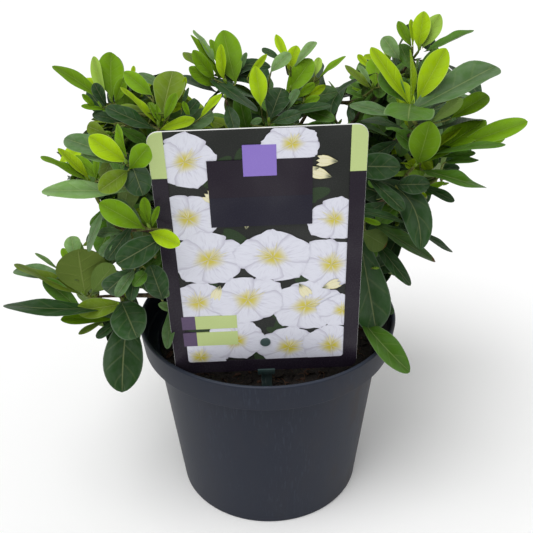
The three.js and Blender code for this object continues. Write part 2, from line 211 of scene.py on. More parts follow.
class View:
    """The photograph's camera, in millimetres, and the pixels that it gives."""

    def __init__(self, studio):
        level = np.array([1.0, 0.0, 0.0])
        self.back = np.array([0.0, -math.cos(studio.elevation), math.sin(studio.elevation)])
        upright = np.cross(self.back, level)
        self.right = math.cos(studio.roll) * level + math.sin(studio.roll) * upright
        self.up = math.cos(studio.roll) * upright - math.sin(studio.roll) * level
        self.eye = np.array([0, 0, studio.aim_height]) / MM + self.back * studio.distance / MM
        self.focal = studio.lens / SENSOR * PICTURE

    def ray(self, spot):
        x, y = (np.array(spot) - PICTURE / 2) / self.focal
        return self.right * x - self.up * y - self.back

    def at_y(self, spot, y):
        """The point that a pixel shows, at a given place in front of or behind the pot's axis."""
        ray = self.ray(spot)
        return self.eye + ray * (y - self.eye[1]) / ray[1]

    def at_depth(self, spot, depth):
        return self.eye + self.ray(spot) * depth

    def depth(self, point):
        return (self.eye - point) @ self.back

    def pixel(self, points):
        away = points - self.eye
        depth = -(away @ self.back)
        x = PICTURE / 2 + self.focal * (away @ self.right) / depth
        y = PICTURE / 2 - self.focal * (away @ self.up) / depth
        return x, y, depth


# Small helpers


def unit(v):
    v = np.asarray(v, float)
    return v / np.maximum(np.linalg.norm(v, axis=-1, keepdims=True), 1e-9)


def mix(a, b, share):
    return a + (b - a) * share


def smooth(x, low=0.0, high=1.0):
    t = np.clip((x - low) / (high - low), 0, 1)
    return t * t * (3 - 2 * t)


def square_to(v, axis):
    """The part of v that is square to a unit axis, as a unit vector."""
    return unit(v - np.sum(v * axis, -1, keepdims=True) * axis)


def lighter(rgb, share):
    return tuple(mix(np.array(rgb[:3]), np.ones(3), share))


def darker(rgb, share):
    return tuple(np.array(rgb[:3]) * (1 - share))


# Meshes


class Skin:
    """Points and faces of one joined mesh, collected bit by bit. UVs are one pair for each face corner."""

    def __init__(self):
        self.points = []
        self.faces = []
        self.uvs = []
        self.marks = []
        self.count = 0

    def add(self, points, faces, uvs=None, mark=0):
        points = np.asarray(points, float)
        self.points.append(points)
        self.faces.extend(tuple(i + self.count for i in face) for face in faces)
        self.marks.extend([mark] * len(faces))
        if uvs is not None:
            self.uvs.append(uvs)
        self.count += len(points)

    def piece(self, name, materials, slot, replaced=(), flat=False):
        mesh = bpy.data.meshes.new(name)
        mesh.from_pydata((np.concatenate(self.points) * MM).tolist(), [], self.faces)
        if self.uvs:
            layer = mesh.uv_layers.new(name=UV_NAME)
            layer.data.foreach_set("uv", np.concatenate(self.uvs).astype(np.float32).ravel())
        mesh.polygons.foreach_set("material_index", self.marks)
        mesh.polygons.foreach_set("use_smooth", [not flat] * len(self.faces))
        mesh.update()
        return add_piece(name, mesh, materials, replaced)


def add_piece(name, mesh, materials, replaced=()):
    """Links a mesh as a piece of the object that rides on its only body."""
    for material in materials:
        mesh.materials.append(material)
    piece = bpy.data.objects.new(name, mesh)
    bpy.context.scene.collection.objects.link(piece)
    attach(piece, "root")
    if replaced:
        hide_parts(*replaced)
    return piece


def frames_along(path):
    """Tangents, and two directions square to them that turn as little as they can."""
    tangents = unit(np.gradient(path, axis=0))
    first = np.array([0.0, 0.0, 1.0]) if abs(tangents[0][2]) < 0.9 else np.array([1.0, 0.0, 0.0])
    side = square_to(first, tangents[0])
    sides = []
    for tangent in tangents:
        side = square_to(side, tangent)
        sides.append(side)
    sides = np.array(sides)
    return tangents, sides, np.cross(tangents, sides)


def ring_faces(rings, sides, closed=False):
    """The faces between rings of points, and from the last ring to the first where they are closed."""
    faces = []
    for i in range(rings if closed else rings - 1):
        low, high = i * sides, (i + 1) % rings * sides
        faces += [(low + j, low + (j + 1) % sides, high + (j + 1) % sides, high + j) for j in range(sides)]
    return faces


def capped_faces(rings, sides):
    """The faces of rings that end in a point at both ends. The two points come after those of the rings."""
    last, start = (rings - 1) * sides, rings * sides
    faces = ring_faces(rings, sides)
    faces += [((j + 1) % sides, j, start) for j in range(sides)]
    return faces + [(last + j, last + (j + 1) % sides, start + 1) for j in range(sides)]


def tube(path, radii, sides, relief=0):
    """A closed tube along a path. Relief is added to each ring's radii, as a share of them."""
    path = np.asarray(path, float)
    _, across, over = frames_along(path)
    angle = np.linspace(0, 2 * np.pi, sides, endpoint=False)[None, :, None]
    around = np.cos(angle) * across[:, None] + np.sin(angle) * over[:, None]
    ring = np.asarray(radii, float)[:, None] * np.ones(sides) * (1 + relief)
    points = (path[:, None] + around * ring[:, :, None]).reshape(-1, 3)
    return np.vstack([points, path[:1], path[-1:]]), capped_faces(len(path), sides)


def hermite(start, start_way, end, end_way, steps):
    """A smooth path from one point and direction to another."""
    reach = np.linalg.norm(end - start)
    t = np.linspace(0, 1, steps)[:, None]
    a, b = start_way * reach, end_way * reach
    return ((2 * t**3 - 3 * t**2 + 1) * start + (t**3 - 2 * t**2 + t) * a
            + (3 * t**2 - 2 * t**3) * end + (t**3 - t**2) * b)


def turned_rings(profile, segments):
    """Rings of points round Z, one for each radius and height of a profile."""
    angle = np.linspace(0, 2 * np.pi, segments, endpoint=False)
    radii, heights = np.array(profile, float).T[:, :, None]
    rings = np.stack([radii * np.cos(angle), radii * np.sin(angle), heights * np.ones(segments)], -1)
    return rings.reshape(-1, 3)


def turned(profile, segments):
    """A closed mesh turned round Z from a profile of radius and height that starts and ends on the axis."""
    ends = [(0, 0, profile[0][1]), (0, 0, profile[-1][1])]
    return np.vstack([turned_rings(profile[1:-1], segments), ends]), capped_faces(len(profile) - 2, segments)


def arc(centre, radius, start, end, steps=6):
    """Points of an arc, with its angles in degrees."""
    turn = np.radians(np.linspace(start, end, steps))
    return [(centre[0] + radius * math.cos(a), centre[1] + radius * math.sin(a)) for a in turn]


# Materials

# What each node group gives: its sockets and their kinds
SURFACE = (("Color", "Color"), ("Roughness", "Float"), ("Height", "Float"))
PRINT_ROUGHNESS = 0.24

# A skin's UV map has one column for each variant, and each side of a leaf is as high in it as the spread
SKIN_VARIANTS = 4
SKIN_SPREAD = 0.46


class Tree:
    """Adds nodes to a node tree and links their sockets."""

    def __init__(self, tree):
        self.tree = tree

    def node(self, kind, inputs=None, **settings):
        made = self.tree.nodes.new(kind)
        for key, value in settings.items():
            setattr(made, key, value)
        for key, value in (inputs or {}).items():
            self.feed(made.inputs[key], value)
        return made

    def feed(self, socket, value):
        if isinstance(value, bpy.types.NodeSocket):
            self.tree.links.new(value, socket)
        else:
            socket.default_value = (*value[:3], 1.0) if socket.type == "RGBA" else value

    def math(self, operation, *values, clamp=False):
        made = self.node("ShaderNodeMath", dict(enumerate(values)), operation=operation, use_clamp=clamp)
        return made.outputs[0]

    def times(self, a, b, clamp=False):
        return self.math("MULTIPLY", a, b, clamp=clamp)

    def line(self, value, slope, start):
        """The value times a slope, added to a start."""
        return self.math("MULTIPLY_ADD", value, slope, start)

    def blend(self, share, a, b):
        return self.node("ShaderNodeMix", {0: share, 6: a, 7: b}, data_type="RGBA").outputs[2]

    def ramp(self, value, low, high, start=0.0, end=1.0):
        """A smooth step from start to end as the value goes from low to high."""
        return self.node("ShaderNodeMapRange", dict(enumerate((value, low, high, start, end))),
                         interpolation_type="SMOOTHSTEP").outputs[0]

    def noise(self, vector, scale, detail=3.0, roughness=0.5):
        return self.node("ShaderNodeTexNoise", {"Vector": vector, "Scale": scale, "Detail": detail,
                                                "Roughness": roughness}).outputs["Fac"]

    def scaled(self, vector, factors):
        return self.node("ShaderNodeVectorMath", {0: vector, 1: factors}, operation="MULTIPLY").outputs[0]

    def on_blade(self, uv):
        """From a leaf's UVs: its variant, how far along and across it, and whether on its underside."""
        spot = self.node("ShaderNodeSeparateXYZ", {"Vector": uv}).outputs
        cells = self.times(spot["X"], float(SKIN_VARIANTS))
        half = self.math("FRACT", self.times(spot["Y"], 2.0))
        across = self.line(half, 1 / SKIN_SPREAD, -0.5 / SKIN_SPREAD)
        under = self.math("GREATER_THAN", spot["Y"], 0.5)
        return self.math("FLOOR", cells), self.math("FRACT", cells), across, under

    def surface(self, *values):
        """Feeds a group's colour, roughness and height, and gives the finished group."""
        self.node("NodeGroupOutput", dict(enumerate(values)))
        return self.tree


def new_group(name, vector, colours, values):
    """A new node group that gives a surface, and the sockets of its inputs: a vector, colours and values."""
    group = bpy.data.node_groups.new(name, "ShaderNodeTree")
    inputs = [(vector, "Vector"), *((key, "Color") for key in colours), *((key, "Float") for key in values)]
    for way, sockets in (("INPUT", inputs), ("OUTPUT", SURFACE)):
        for socket, kind in sockets:
            group.interface.new_socket(socket, in_out=way, socket_type="NodeSocket" + kind)
    tree = Tree(group)
    return tree, tree.node("NodeGroupInput").outputs


def build_leaf_group(name):
    """A leaf's skin from its UV map, where its upper side lies below 0.5 and its underside above, with
    painted shade towards its foot and beside its midrib.
    """
    tree, given = new_group(name, "UV", ("Blade", "Blade light", "Vein", "Margin", "Underside", "Brown"),
                            ("Dry", "Gloss", "Veins"))
    cell, along, across, under = tree.on_blade(given["UV"])
    out = tree.math("ABSOLUTE", across)
    place = tree.node("ShaderNodeCombineXYZ", {
        "X": tree.line(cell, 7.3, tree.times(along, 4.0)),
        "Y": across, "Z": tree.times(under, 3.0)}).outputs[0]
    mottle = tree.noise(place, 1.7)
    fine = tree.noise(place, 11.0)
    vein_turn = tree.times(tree.math("SUBTRACT", along, tree.times(out, 0.2)), given["Veins"])
    vein_turn = tree.line(tree.math("GREATER_THAN", across, 0.0), 0.5, vein_turn)
    off_vein = tree.math("ABSOLUTE", tree.math("SUBTRACT", tree.math("FRACT", vein_turn), 0.5))
    vein = tree.times(tree.ramp(off_vein, 0.0, 0.12, 1.0, 0.0), tree.ramp(out, 0.75, 0.95, 1.0, 0.0))
    rib = tree.ramp(out, 0.01, 0.06, 1.0, 0.0)
    lines = tree.math("MAXIMUM", tree.times(vein, 0.10), tree.times(rib, 0.42))
    blade = tree.blend(tree.ramp(mottle, 0.3, 0.7), given["Blade"], given["Blade light"])
    # Each variant gets its own tone. Then painted shade darkens the blade towards its foot and beside its
    # midrib, and painted light brightens it towards its margin.
    tone_and_painted_shade = tree.line(tree.math("SINE", tree.times(cell, 2.4)), 0.13, 1.0)
    tone_and_painted_shade = tree.times(tone_and_painted_shade, tree.ramp(along, 0.0, 0.55, 0.66, 1.04))
    tone_and_painted_shade = tree.times(tone_and_painted_shade, tree.ramp(out, 0.0, 0.8, 0.84, 1.12))
    blade = tree.node("ShaderNodeHueSaturation", {"Color": blade, "Value": tone_and_painted_shade}).outputs[0]
    top = tree.blend(lines, blade, given["Vein"])
    top = tree.blend(tree.times(tree.ramp(out, 0.91, 0.99), 0.6), top, given["Margin"])
    below = tree.blend(tree.times(lines, 0.8), given["Underside"], given["Vein"])
    face = tree.blend(under, top, below)
    ragged = tree.line(fine, 0.12, tree.math("SUBTRACT", along, 0.06))
    dry_from = tree.math("SUBTRACT", 1.0, given["Dry"])
    dry = tree.times(tree.ramp(ragged, dry_from, tree.math("ADD", dry_from, 0.04)),
                     tree.math("GREATER_THAN", given["Dry"], 0.001))
    speck = tree.times(tree.ramp(tree.noise(place, 5.0, 1.0), 0.68, 0.72),
                       tree.times(given["Dry"], 8.0, clamp=True))
    spoiled = tree.math("MAXIMUM", dry, speck)
    rough = tree.line(tree.math("SUBTRACT", fine, 0.5), 0.22, given["Gloss"])
    rough = tree.line(spoiled, 0.25, tree.line(under, 0.12, rough))
    relief = tree.times(tree.line(vein, 0.6, rib), tree.line(under, 2.0, -1.0))
    return tree.surface(tree.blend(spoiled, face, given["Brown"]), rough, tree.line(fine, 0.35, relief))


def build_bark_group(name):
    """Bark: paler ridges and darker furrows, drawn out upwards."""
    tree, given = new_group(name, "Vector", ("Light", "Dark"), ("Scale", "Roughness"))
    flakes = tree.noise(given["Vector"], given["Scale"], 6.0, 0.65)
    stretched = tree.scaled(given["Vector"], (1.0, 1.0, 0.25))
    grain = tree.noise(stretched, tree.times(given["Scale"], 2.5), 4.0)
    mask = tree.ramp(tree.line(grain, 0.5, tree.times(flakes, 0.5)), 0.36, 0.62)
    rough = tree.line(mask, -0.12, given["Roughness"])
    return tree.surface(tree.blend(mask, given["Dark"], given["Light"]), rough, mask)


def build_wear_group(name):
    """Used plastic: upright scuffs, dust that settles unevenly, a few pale specks, and a painted highlight in
    the scuff colour along the top of the rim's lip.
    """
    tree, given = new_group(name, "Vector", ("Plastic", "Scuff", "Dust"),
                            ("Scuffs", "Dusty", "Roughness", "Dust from", "Lip from"))
    vector = given["Vector"]
    place = tree.node("ShaderNodeSeparateXYZ", {"Vector": vector}).outputs
    dust_to = tree.math("ADD", given["Dust from"], 50 * MM)
    sided = tree.ramp(place["X"], given["Dust from"], dust_to, 0.12, 1.0)
    lip_highlight_to = tree.math("ADD", given["Lip from"], 0.9 * MM)
    # Painted highlight: the top of the lip is blended towards the pale scuff colour
    lip = tree.ramp(place["Z"], given["Lip from"], lip_highlight_to, 0.0, 0.85)
    streak = tree.ramp(tree.noise(tree.scaled(vector, (1.0, 1.0, 0.05)), 900.0, 3.0, 0.6), 0.52, 0.68)
    streak = tree.times(streak, tree.ramp(tree.noise(vector, 38.0, 2.0), 0.35, 0.65))
    streak = tree.times(streak, given["Scuffs"])
    cloud = tree.ramp(tree.noise(tree.scaled(vector, (1.0, 1.0, 0.4)), 60.0, 5.0, 0.6), 0.42, 0.75)
    dust = tree.times(tree.times(cloud, sided), given["Dusty"])
    speck = tree.times(tree.ramp(tree.noise(vector, 700.0, 1.0), 0.80, 0.83), 0.8)
    # worn holds the real scuffs and the painted highlight on the lip
    worn = tree.blend(tree.math("MAXIMUM", streak, lip), given["Plastic"], given["Scuff"])
    worn = tree.blend(dust, worn, given["Dust"])
    rough = tree.line(dust, 0.35, tree.line(streak, 0.2, given["Roughness"]))
    grain = tree.noise(vector, 900.0, 2.0)
    return tree.surface(tree.blend(speck, worn, given["Dust"]), rough, tree.line(grain, 0.4, streak))


def build_print_group(name):
    """Ink on sheet plastic: the colour fades a little from place to place."""
    tree, given = new_group(name, "Vector", ("Ink", "Faded"), ("Fading", "Roughness"))
    patch = tree.times(tree.ramp(tree.noise(given["Vector"], 30.0, 2.0), 0.3, 0.75), given["Fading"])
    dots = tree.noise(given["Vector"], 1600.0, 1.0)
    rough = tree.line(dots, 0.06, given["Roughness"])
    return tree.surface(tree.blend(patch, given["Ink"], given["Faded"]), rough, dots)


def surfaced(name, build, group, inputs, bump, depth, specular=0.5, uv=False):
    """A Principled material whose colour, roughness and bump come from a node group."""
    material = bpy.data.materials.new(name)
    material.use_nodes = True
    material.node_tree.nodes.clear()
    tree = Tree(material.node_tree)
    if uv:
        vector = tree.node("ShaderNodeUVMap", uv_map=UV_NAME).outputs[0]
    else:
        vector = tree.node("ShaderNodeTexCoord").outputs["Object"]
    used = tree.node("ShaderNodeGroup", {0: vector, **inputs},
                     node_tree=bpy.data.node_groups.get(group) or build(group)).outputs
    raised = tree.node("ShaderNodeBump", {"Strength": bump, "Distance": depth * MM, "Height": used["Height"]})
    shader = tree.node("ShaderNodeBsdfPrincipled", {
        "Base Color": used["Color"], "Roughness": used["Roughness"], "Normal": raised.outputs[0],
        "Specular IOR Level": specular})
    tree.node("ShaderNodeOutputMaterial", {"Surface": shader.outputs[0]})
    return material


# Each of these gives its group's values, and then the strength and depth of the bump and the specular level


def bark_material(name, light, dark, scale, roughness=0.85):
    return surfaced(name, build_bark_group, "Bark", {
        "Light": light, "Dark": dark, "Scale": scale, "Roughness": roughness}, 0.6, 0.6)


def wear_material(name, plastic, scuff, dust, scuffs, dusty, roughness, dust_from=-1.0, lip_from=1.0):
    return surfaced(name, build_wear_group, "Worn plastic", {
        "Plastic": plastic, "Scuff": scuff, "Dust": dust, "Scuffs": scuffs, "Dusty": dusty,
        "Roughness": roughness, "Dust from": dust_from, "Lip from": lip_from}, 0.25, 0.1, 0.24)


def print_material(name, ink, fading=0.25):
    return surfaced(name, build_print_group, "Printed sheet", {
        "Ink": ink, "Faded": lighter(ink, 0.06), "Fading": fading, "Roughness": PRINT_ROUGHNESS,
    }, 0.05, 0.02, 0.13)


# Limbs, as the solids have them

TRUNK_FOOT = np.array([0.0, 0.0, 109.3])
TRUNK_HEIGHT = 24.0
TRUNK_LEAN = np.array([2.0, 3.0])
TRUNK_TOP = TRUNK_FOOT + np.array([*TRUNK_LEAN, TRUNK_HEIGHT])
TRUNK_RADII = SimpleNamespace(foot=13.0, neck=9.0, top=10.5)
TRUNK_CROWN = 2.6
FLARE_SHARE = 0.16
BOUGH_SIDES = 20

Limb = namedtuple("Limb", "end parent place radii rise")

# Each bough: where it ends, what it grows from, and where on that. On the trunk the place is a compass
# angle round its top, or None for its middle, and on another bough it is a share of the way along.
LIMBS = {
    "left_low": Limb((-100, -48, 172), "trunk", 205, (3.2, 1.8), 0.6),
    "left_mid": Limb((-78, -76, 230), "trunk", 250, (3.4, 1.9), 0.75),
    "back_left": Limb((-70, 66, 232), "trunk", 150, (3.4, 1.9), 0.8),
    "back_mid": Limb((6, 80, 220), "trunk", 95, (3.2, 1.8), 0.75),
    "back_right": Limb((80, 66, 238), "trunk", 40, (3.4, 1.9), 0.8),
    "right_low": Limb((62, -44, 186), "trunk", 320, (3.2, 1.9), 0.7),
    "top_left": Limb((-22, -2, 276), "trunk", None, (3.6, 2.0), 0.5),
    "right_mid": Limb((96, -50, 241), "trunk", 355, (3.4, 1.9), 0.75),
    "side_left": Limb((-98, 16, 208), "left_low", 0.3, (2.2, 1.5), 0.7),
    "side_right": Limb((98, 14, 214), "right_mid", 0.25, (2.2, 1.5), 0.7),
    "left_high": Limb((-76, -18, 274), "back_left", 0.35, (2.4, 1.6), 0.7),
    "top_right": Limb((30, 0, 274), "top_left", 0.35, (2.3, 1.6), 0.6),
    "right_high": Limb((80, 10, 284), "back_right", 0.4, (2.4, 1.6), 0.7),
    "right_front": Limb((80, -64, 276), "right_mid", 0.55, (2.2, 1.6), 0.8),
    "back_low_left": Limb((-50, 78, 168), "back_left", 0.22, (2.0, 1.4), 0.5),
    "back_low_right": Limb((50, 76, 170), "back_right", 0.22, (2.0, 1.4), 0.5),
}

# Points along the middle line of each bough, and how many of them bear no twigs
LIMB_POINTS = 64
BARE_POINTS = LIMB_POINTS // 3

# The masses of foliage in full light
SUNNY_MASSES = ("left_mid", "left_high", "top_left", "top_right", "right_high", "right_front", "right_mid")


def lengths_along(path):
    """How far along a path each of its points lies."""
    return np.concatenate([[0], np.cumsum(np.linalg.norm(np.diff(path, axis=0), axis=1))])


def along_path(path, shares):
    """Points at given shares of a path's length."""
    lengths = lengths_along(path)
    wanted = np.asarray(shares, float) * lengths[-1]
    return np.stack([np.interp(wanted, lengths, path[:, k]) for k in range(3)], -1)


def limb_paths():
    """The middle line of each bough, from where it grows to the middle of its mass of foliage."""
    paths = {}
    for name, limb in LIMBS.items():
        if limb.parent == "trunk":
            turn = math.radians(limb.place or 0)
            ring = 0 if limb.place is None else 0.72 * TRUNK_RADII.top
            start = TRUNK_TOP + np.array([ring * math.cos(turn), ring * math.sin(turn), -4])
        else:
            start = along_path(paths[limb.parent], [limb.place])[0]
        span = np.array(limb.end) - start
        elbow = start + span * np.array([0.3, 0.3, limb.rise])
        t = np.linspace(0, 1, 200)[:, None]
        curve = (1 - t) ** 2 * start + 2 * t * (1 - t) * elbow + t**2 * np.array(limb.end, float)
        paths[name] = along_path(curve, np.linspace(0, 1, LIMB_POINTS))
    return paths


def bark_relief(rng, lengths, sides, ribs, depth):
    """Ridges that run along a limb and wander round it, broken into flakes, with a few knots."""
    angle = np.linspace(0, 2 * np.pi, sides, endpoint=False)[None, :]
    along = np.asarray(lengths, float)[:, None]
    relief = np.zeros((len(lengths), sides))
    for wave in range(1, 6):
        count = ribs * wave
        drift = rng.uniform(-0.12, 0.12) * along + rng.uniform(0, 6.3)
        breaks = 0.6 + 0.4 * np.sin(along * rng.uniform(0.25, 0.9) + rng.uniform(0, 6.3))
        relief += np.sin(count * angle + drift * wave) * breaks / wave
    relief += 0.8 * rng.normal(0, 1, relief.shape) * 0.35
    for _ in range(max(1, int(lengths[-1] / 22))):
        middle = rng.uniform(0.1, 0.95) * lengths[-1]
        facing = rng.uniform(0, 2 * np.pi)
        near = np.exp(-((along - middle) / 1.8) ** 2 - (1 - np.cos(angle - facing)) * 3.5)
        relief += 3.2 * near
    return relief * depth / 1.6


# Leaves

# The stalk's share of a leaf's length, and half its thickness
STALK_SHARE = 0.07
STALK_HALF = 0.5
VEIN_PAIRS = 5

# How much closer the rows of points lie towards a leaf's tip: evenly at 0, and most at 1
CLOSER_AT_TIP = 0.75


class LeafGrid:
    """Where a leaf's points lie on it, and its faces. Its two sides share the points of the rim."""

    def __init__(self, rows, columns):
        even = np.linspace(0, 1, rows + 1)
        share = mix(even, np.sin(np.pi / 2 * even), CLOSER_AT_TIP)
        across = np.linspace(-1, 1, columns + 1)
        numbers, spots = {}, []
        self.faces, corners, edge_uses = [], [], {}

        def number(i, j, side):
            if i in (0, rows):
                key, spot = (i,), (share[i], 0, 0)
            elif j in (0, columns):
                key, spot = (i, j), (share[i], across[j], 0)
            else:
                key, spot = (i, j, side), (share[i], across[j], side)
            if key not in numbers:
                numbers[key] = len(spots)
                spots.append(spot)
            return numbers[key]

        for side in (1, -1):
            for i in range(rows):
                for j in range(columns):
                    ring = [(i, j), (i, j + 1), (i + 1, j + 1), (i + 1, j)]
                    if side < 0:
                        ring = ring[:1] + ring[:0:-1]
                    found = {number(a, b, side): (share[a], across[b], side) for a, b in ring}
                    face = tuple(found)
                    self.faces.append(face)
                    corners.extend(found.values())
                    for a, b in zip(face, face[1:] + face[:1]):
                        edge_uses.setdefault((min(a, b), max(a, b)), set()).add(side)
        self.share, self.across, self.side = np.array(spots, float).T
        self.corners = np.array(corners, float)
        self.size = len(spots)
        self.rim = [a * self.size + b for (a, b), sides in edge_uses.items() if len(sides) == 2]

    def uvs(self, variant):
        """One pair for each face corner of a leaf of that variant."""
        share, across, side = self.corners.T
        u = (variant + 0.005 + 0.99 * share) / SKIN_VARIANTS
        v = np.where(side > 0, 0.25, 0.75) + 0.5 * SKIN_SPREAD * across
        return np.stack([u, v], -1)


# The grid of a leaf that is built, of one that is only drawn on the screen, and of a printed petal
GRID = LeafGrid(16, 6)
FINE_GRID = LeafGrid(40, 14)
PETAL_GRID = LeafGrid(20, 12)


def leaf_points(leaves, grid=GRID):
    """The points of many leaves at once: one row of points for each leaf."""
    base, along, face = (np.array([leaf[key] for leaf in leaves])[:, None, :]
                         for key in ("base", "along", "face"))
    length, width, fold, bow, sway, twist, wave, phase, fullness, sharpness, thickness = (
        np.array([leaf[key] for leaf in leaves], float)[:, None]
        for key in ("length", "width", "fold", "bow", "sway", "twist", "wave", "phase", "fullness",
                    "sharpness", "thickness"))
    share, across, side = grid.share[None], grid.across[None], grid.side[None]
    wide = np.cross(along, face)
    blade = np.clip((share - STALK_SHARE) / (1 - STALK_SHARE), 0, 1)
    widest = fullness / (fullness + sharpness)
    outline = blade**fullness * (1 - blade) ** sharpness
    outline = outline / (widest**fullness * (1 - widest) ** sharpness)
    stalk = np.where(share > 0, STALK_HALF * (1 - blade) ** 4, 0)
    half = np.hypot(0.5 * width * outline, stalk)
    arch = 4 * share * (1 - share)
    lean = 4 * (1 - 2 * share)
    spine = base + along * (length * share)[..., None]
    spine = spine + face * (length * bow * arch)[..., None] + wide * (length * sway * arch)[..., None]
    up = unit(face - along * (bow * lean)[..., None])
    out = unit(wide - along * (sway * lean)[..., None])
    turn = (twist * (share - 0.3))[..., None]
    out, up = out * np.cos(turn) + up * np.sin(turn), up * np.cos(turn) - out * np.sin(turn)
    opening = fold * (1 - 0.45 * share)
    rise = np.sqrt(across**2 + 0.015) - math.sqrt(0.015)
    sideways = half * across * np.cos(opening)
    height = half * rise * np.sin(opening)
    ripple = np.sin(2 * np.pi * 1.6 * share + phase + 1.9 * (across > 0))
    height = height + wave * half * ripple * across**2
    height = height - 0.10 * half * across**4
    veins = (share - 0.2 * np.abs(across)) * VEIN_PAIRS + 0.5 * (across > 0)
    pucker = 0.5 * (1 - np.cos(2 * np.pi * veins)) * np.sin(np.pi * np.abs(across)) * np.sin(np.pi * share)
    height = height - 0.02 * half * pucker
    thick = thickness + (1.7 * STALK_HALF - thickness) * (1 - blade) ** 6
    rib = 0.55 * thickness * (np.abs(across) < 0.01) * (1 - blade)
    height = height + 0.5 * side * thick * (1 - across**2) - rib * (side < 0)
    return spine + out * sideways[..., None] + up * height[..., None]


def shaped_leaf(rng, tone, base, along, face, length, width, age, mass, thickness):
    """One leaf with its own folds and curves. Age is 0 for the newest leaf and 1 for an old one."""
    return {
        "tone": tone, "mass": mass, "base": np.asarray(base), "along": unit(along), "face": unit(face),
        "length": length, "width": width, "thickness": thickness,
        "fold": math.radians(mix(30, 20, age) + rng.normal(0, 6)),
        "bow": mix(-0.01, 0.085, age) + rng.normal(0, 0.025),
        "sway": rng.normal(0, 0.025),
        "twist": rng.normal(0, 0.25),
        "wave": rng.uniform(0.04, 0.15),
        "phase": rng.uniform(0, 6.28),
        "fullness": mix(0.90, 0.98, age) + rng.normal(0, 0.05),
        "sharpness": mix(0.70, 0.58, age) + rng.normal(0, 0.04),
        "variant": int(rng.integers(SKIN_VARIANTS)),
    }


# The shoots that the photograph shows. Heart is the pixel that a shoot's leaves spread from, y is how far
# in front of or behind the pot's axis it stands, and lean is the sideways part of its direction.
# Its leaves come in sprays, one row for each leaf: the pixels of its tip and of its base, its width in
# pixels, whether its tip is nearer than its base (1) or further (-1), whether its underside shows, and how
# far it is bent sideways, as a share of its length.

Shoot = namedtuple("Shoot", "mass heart y lean sprays")
Leaf = namedtuple("Leaf", "tip base width toward under sway", defaults=(1, False, 0.0))

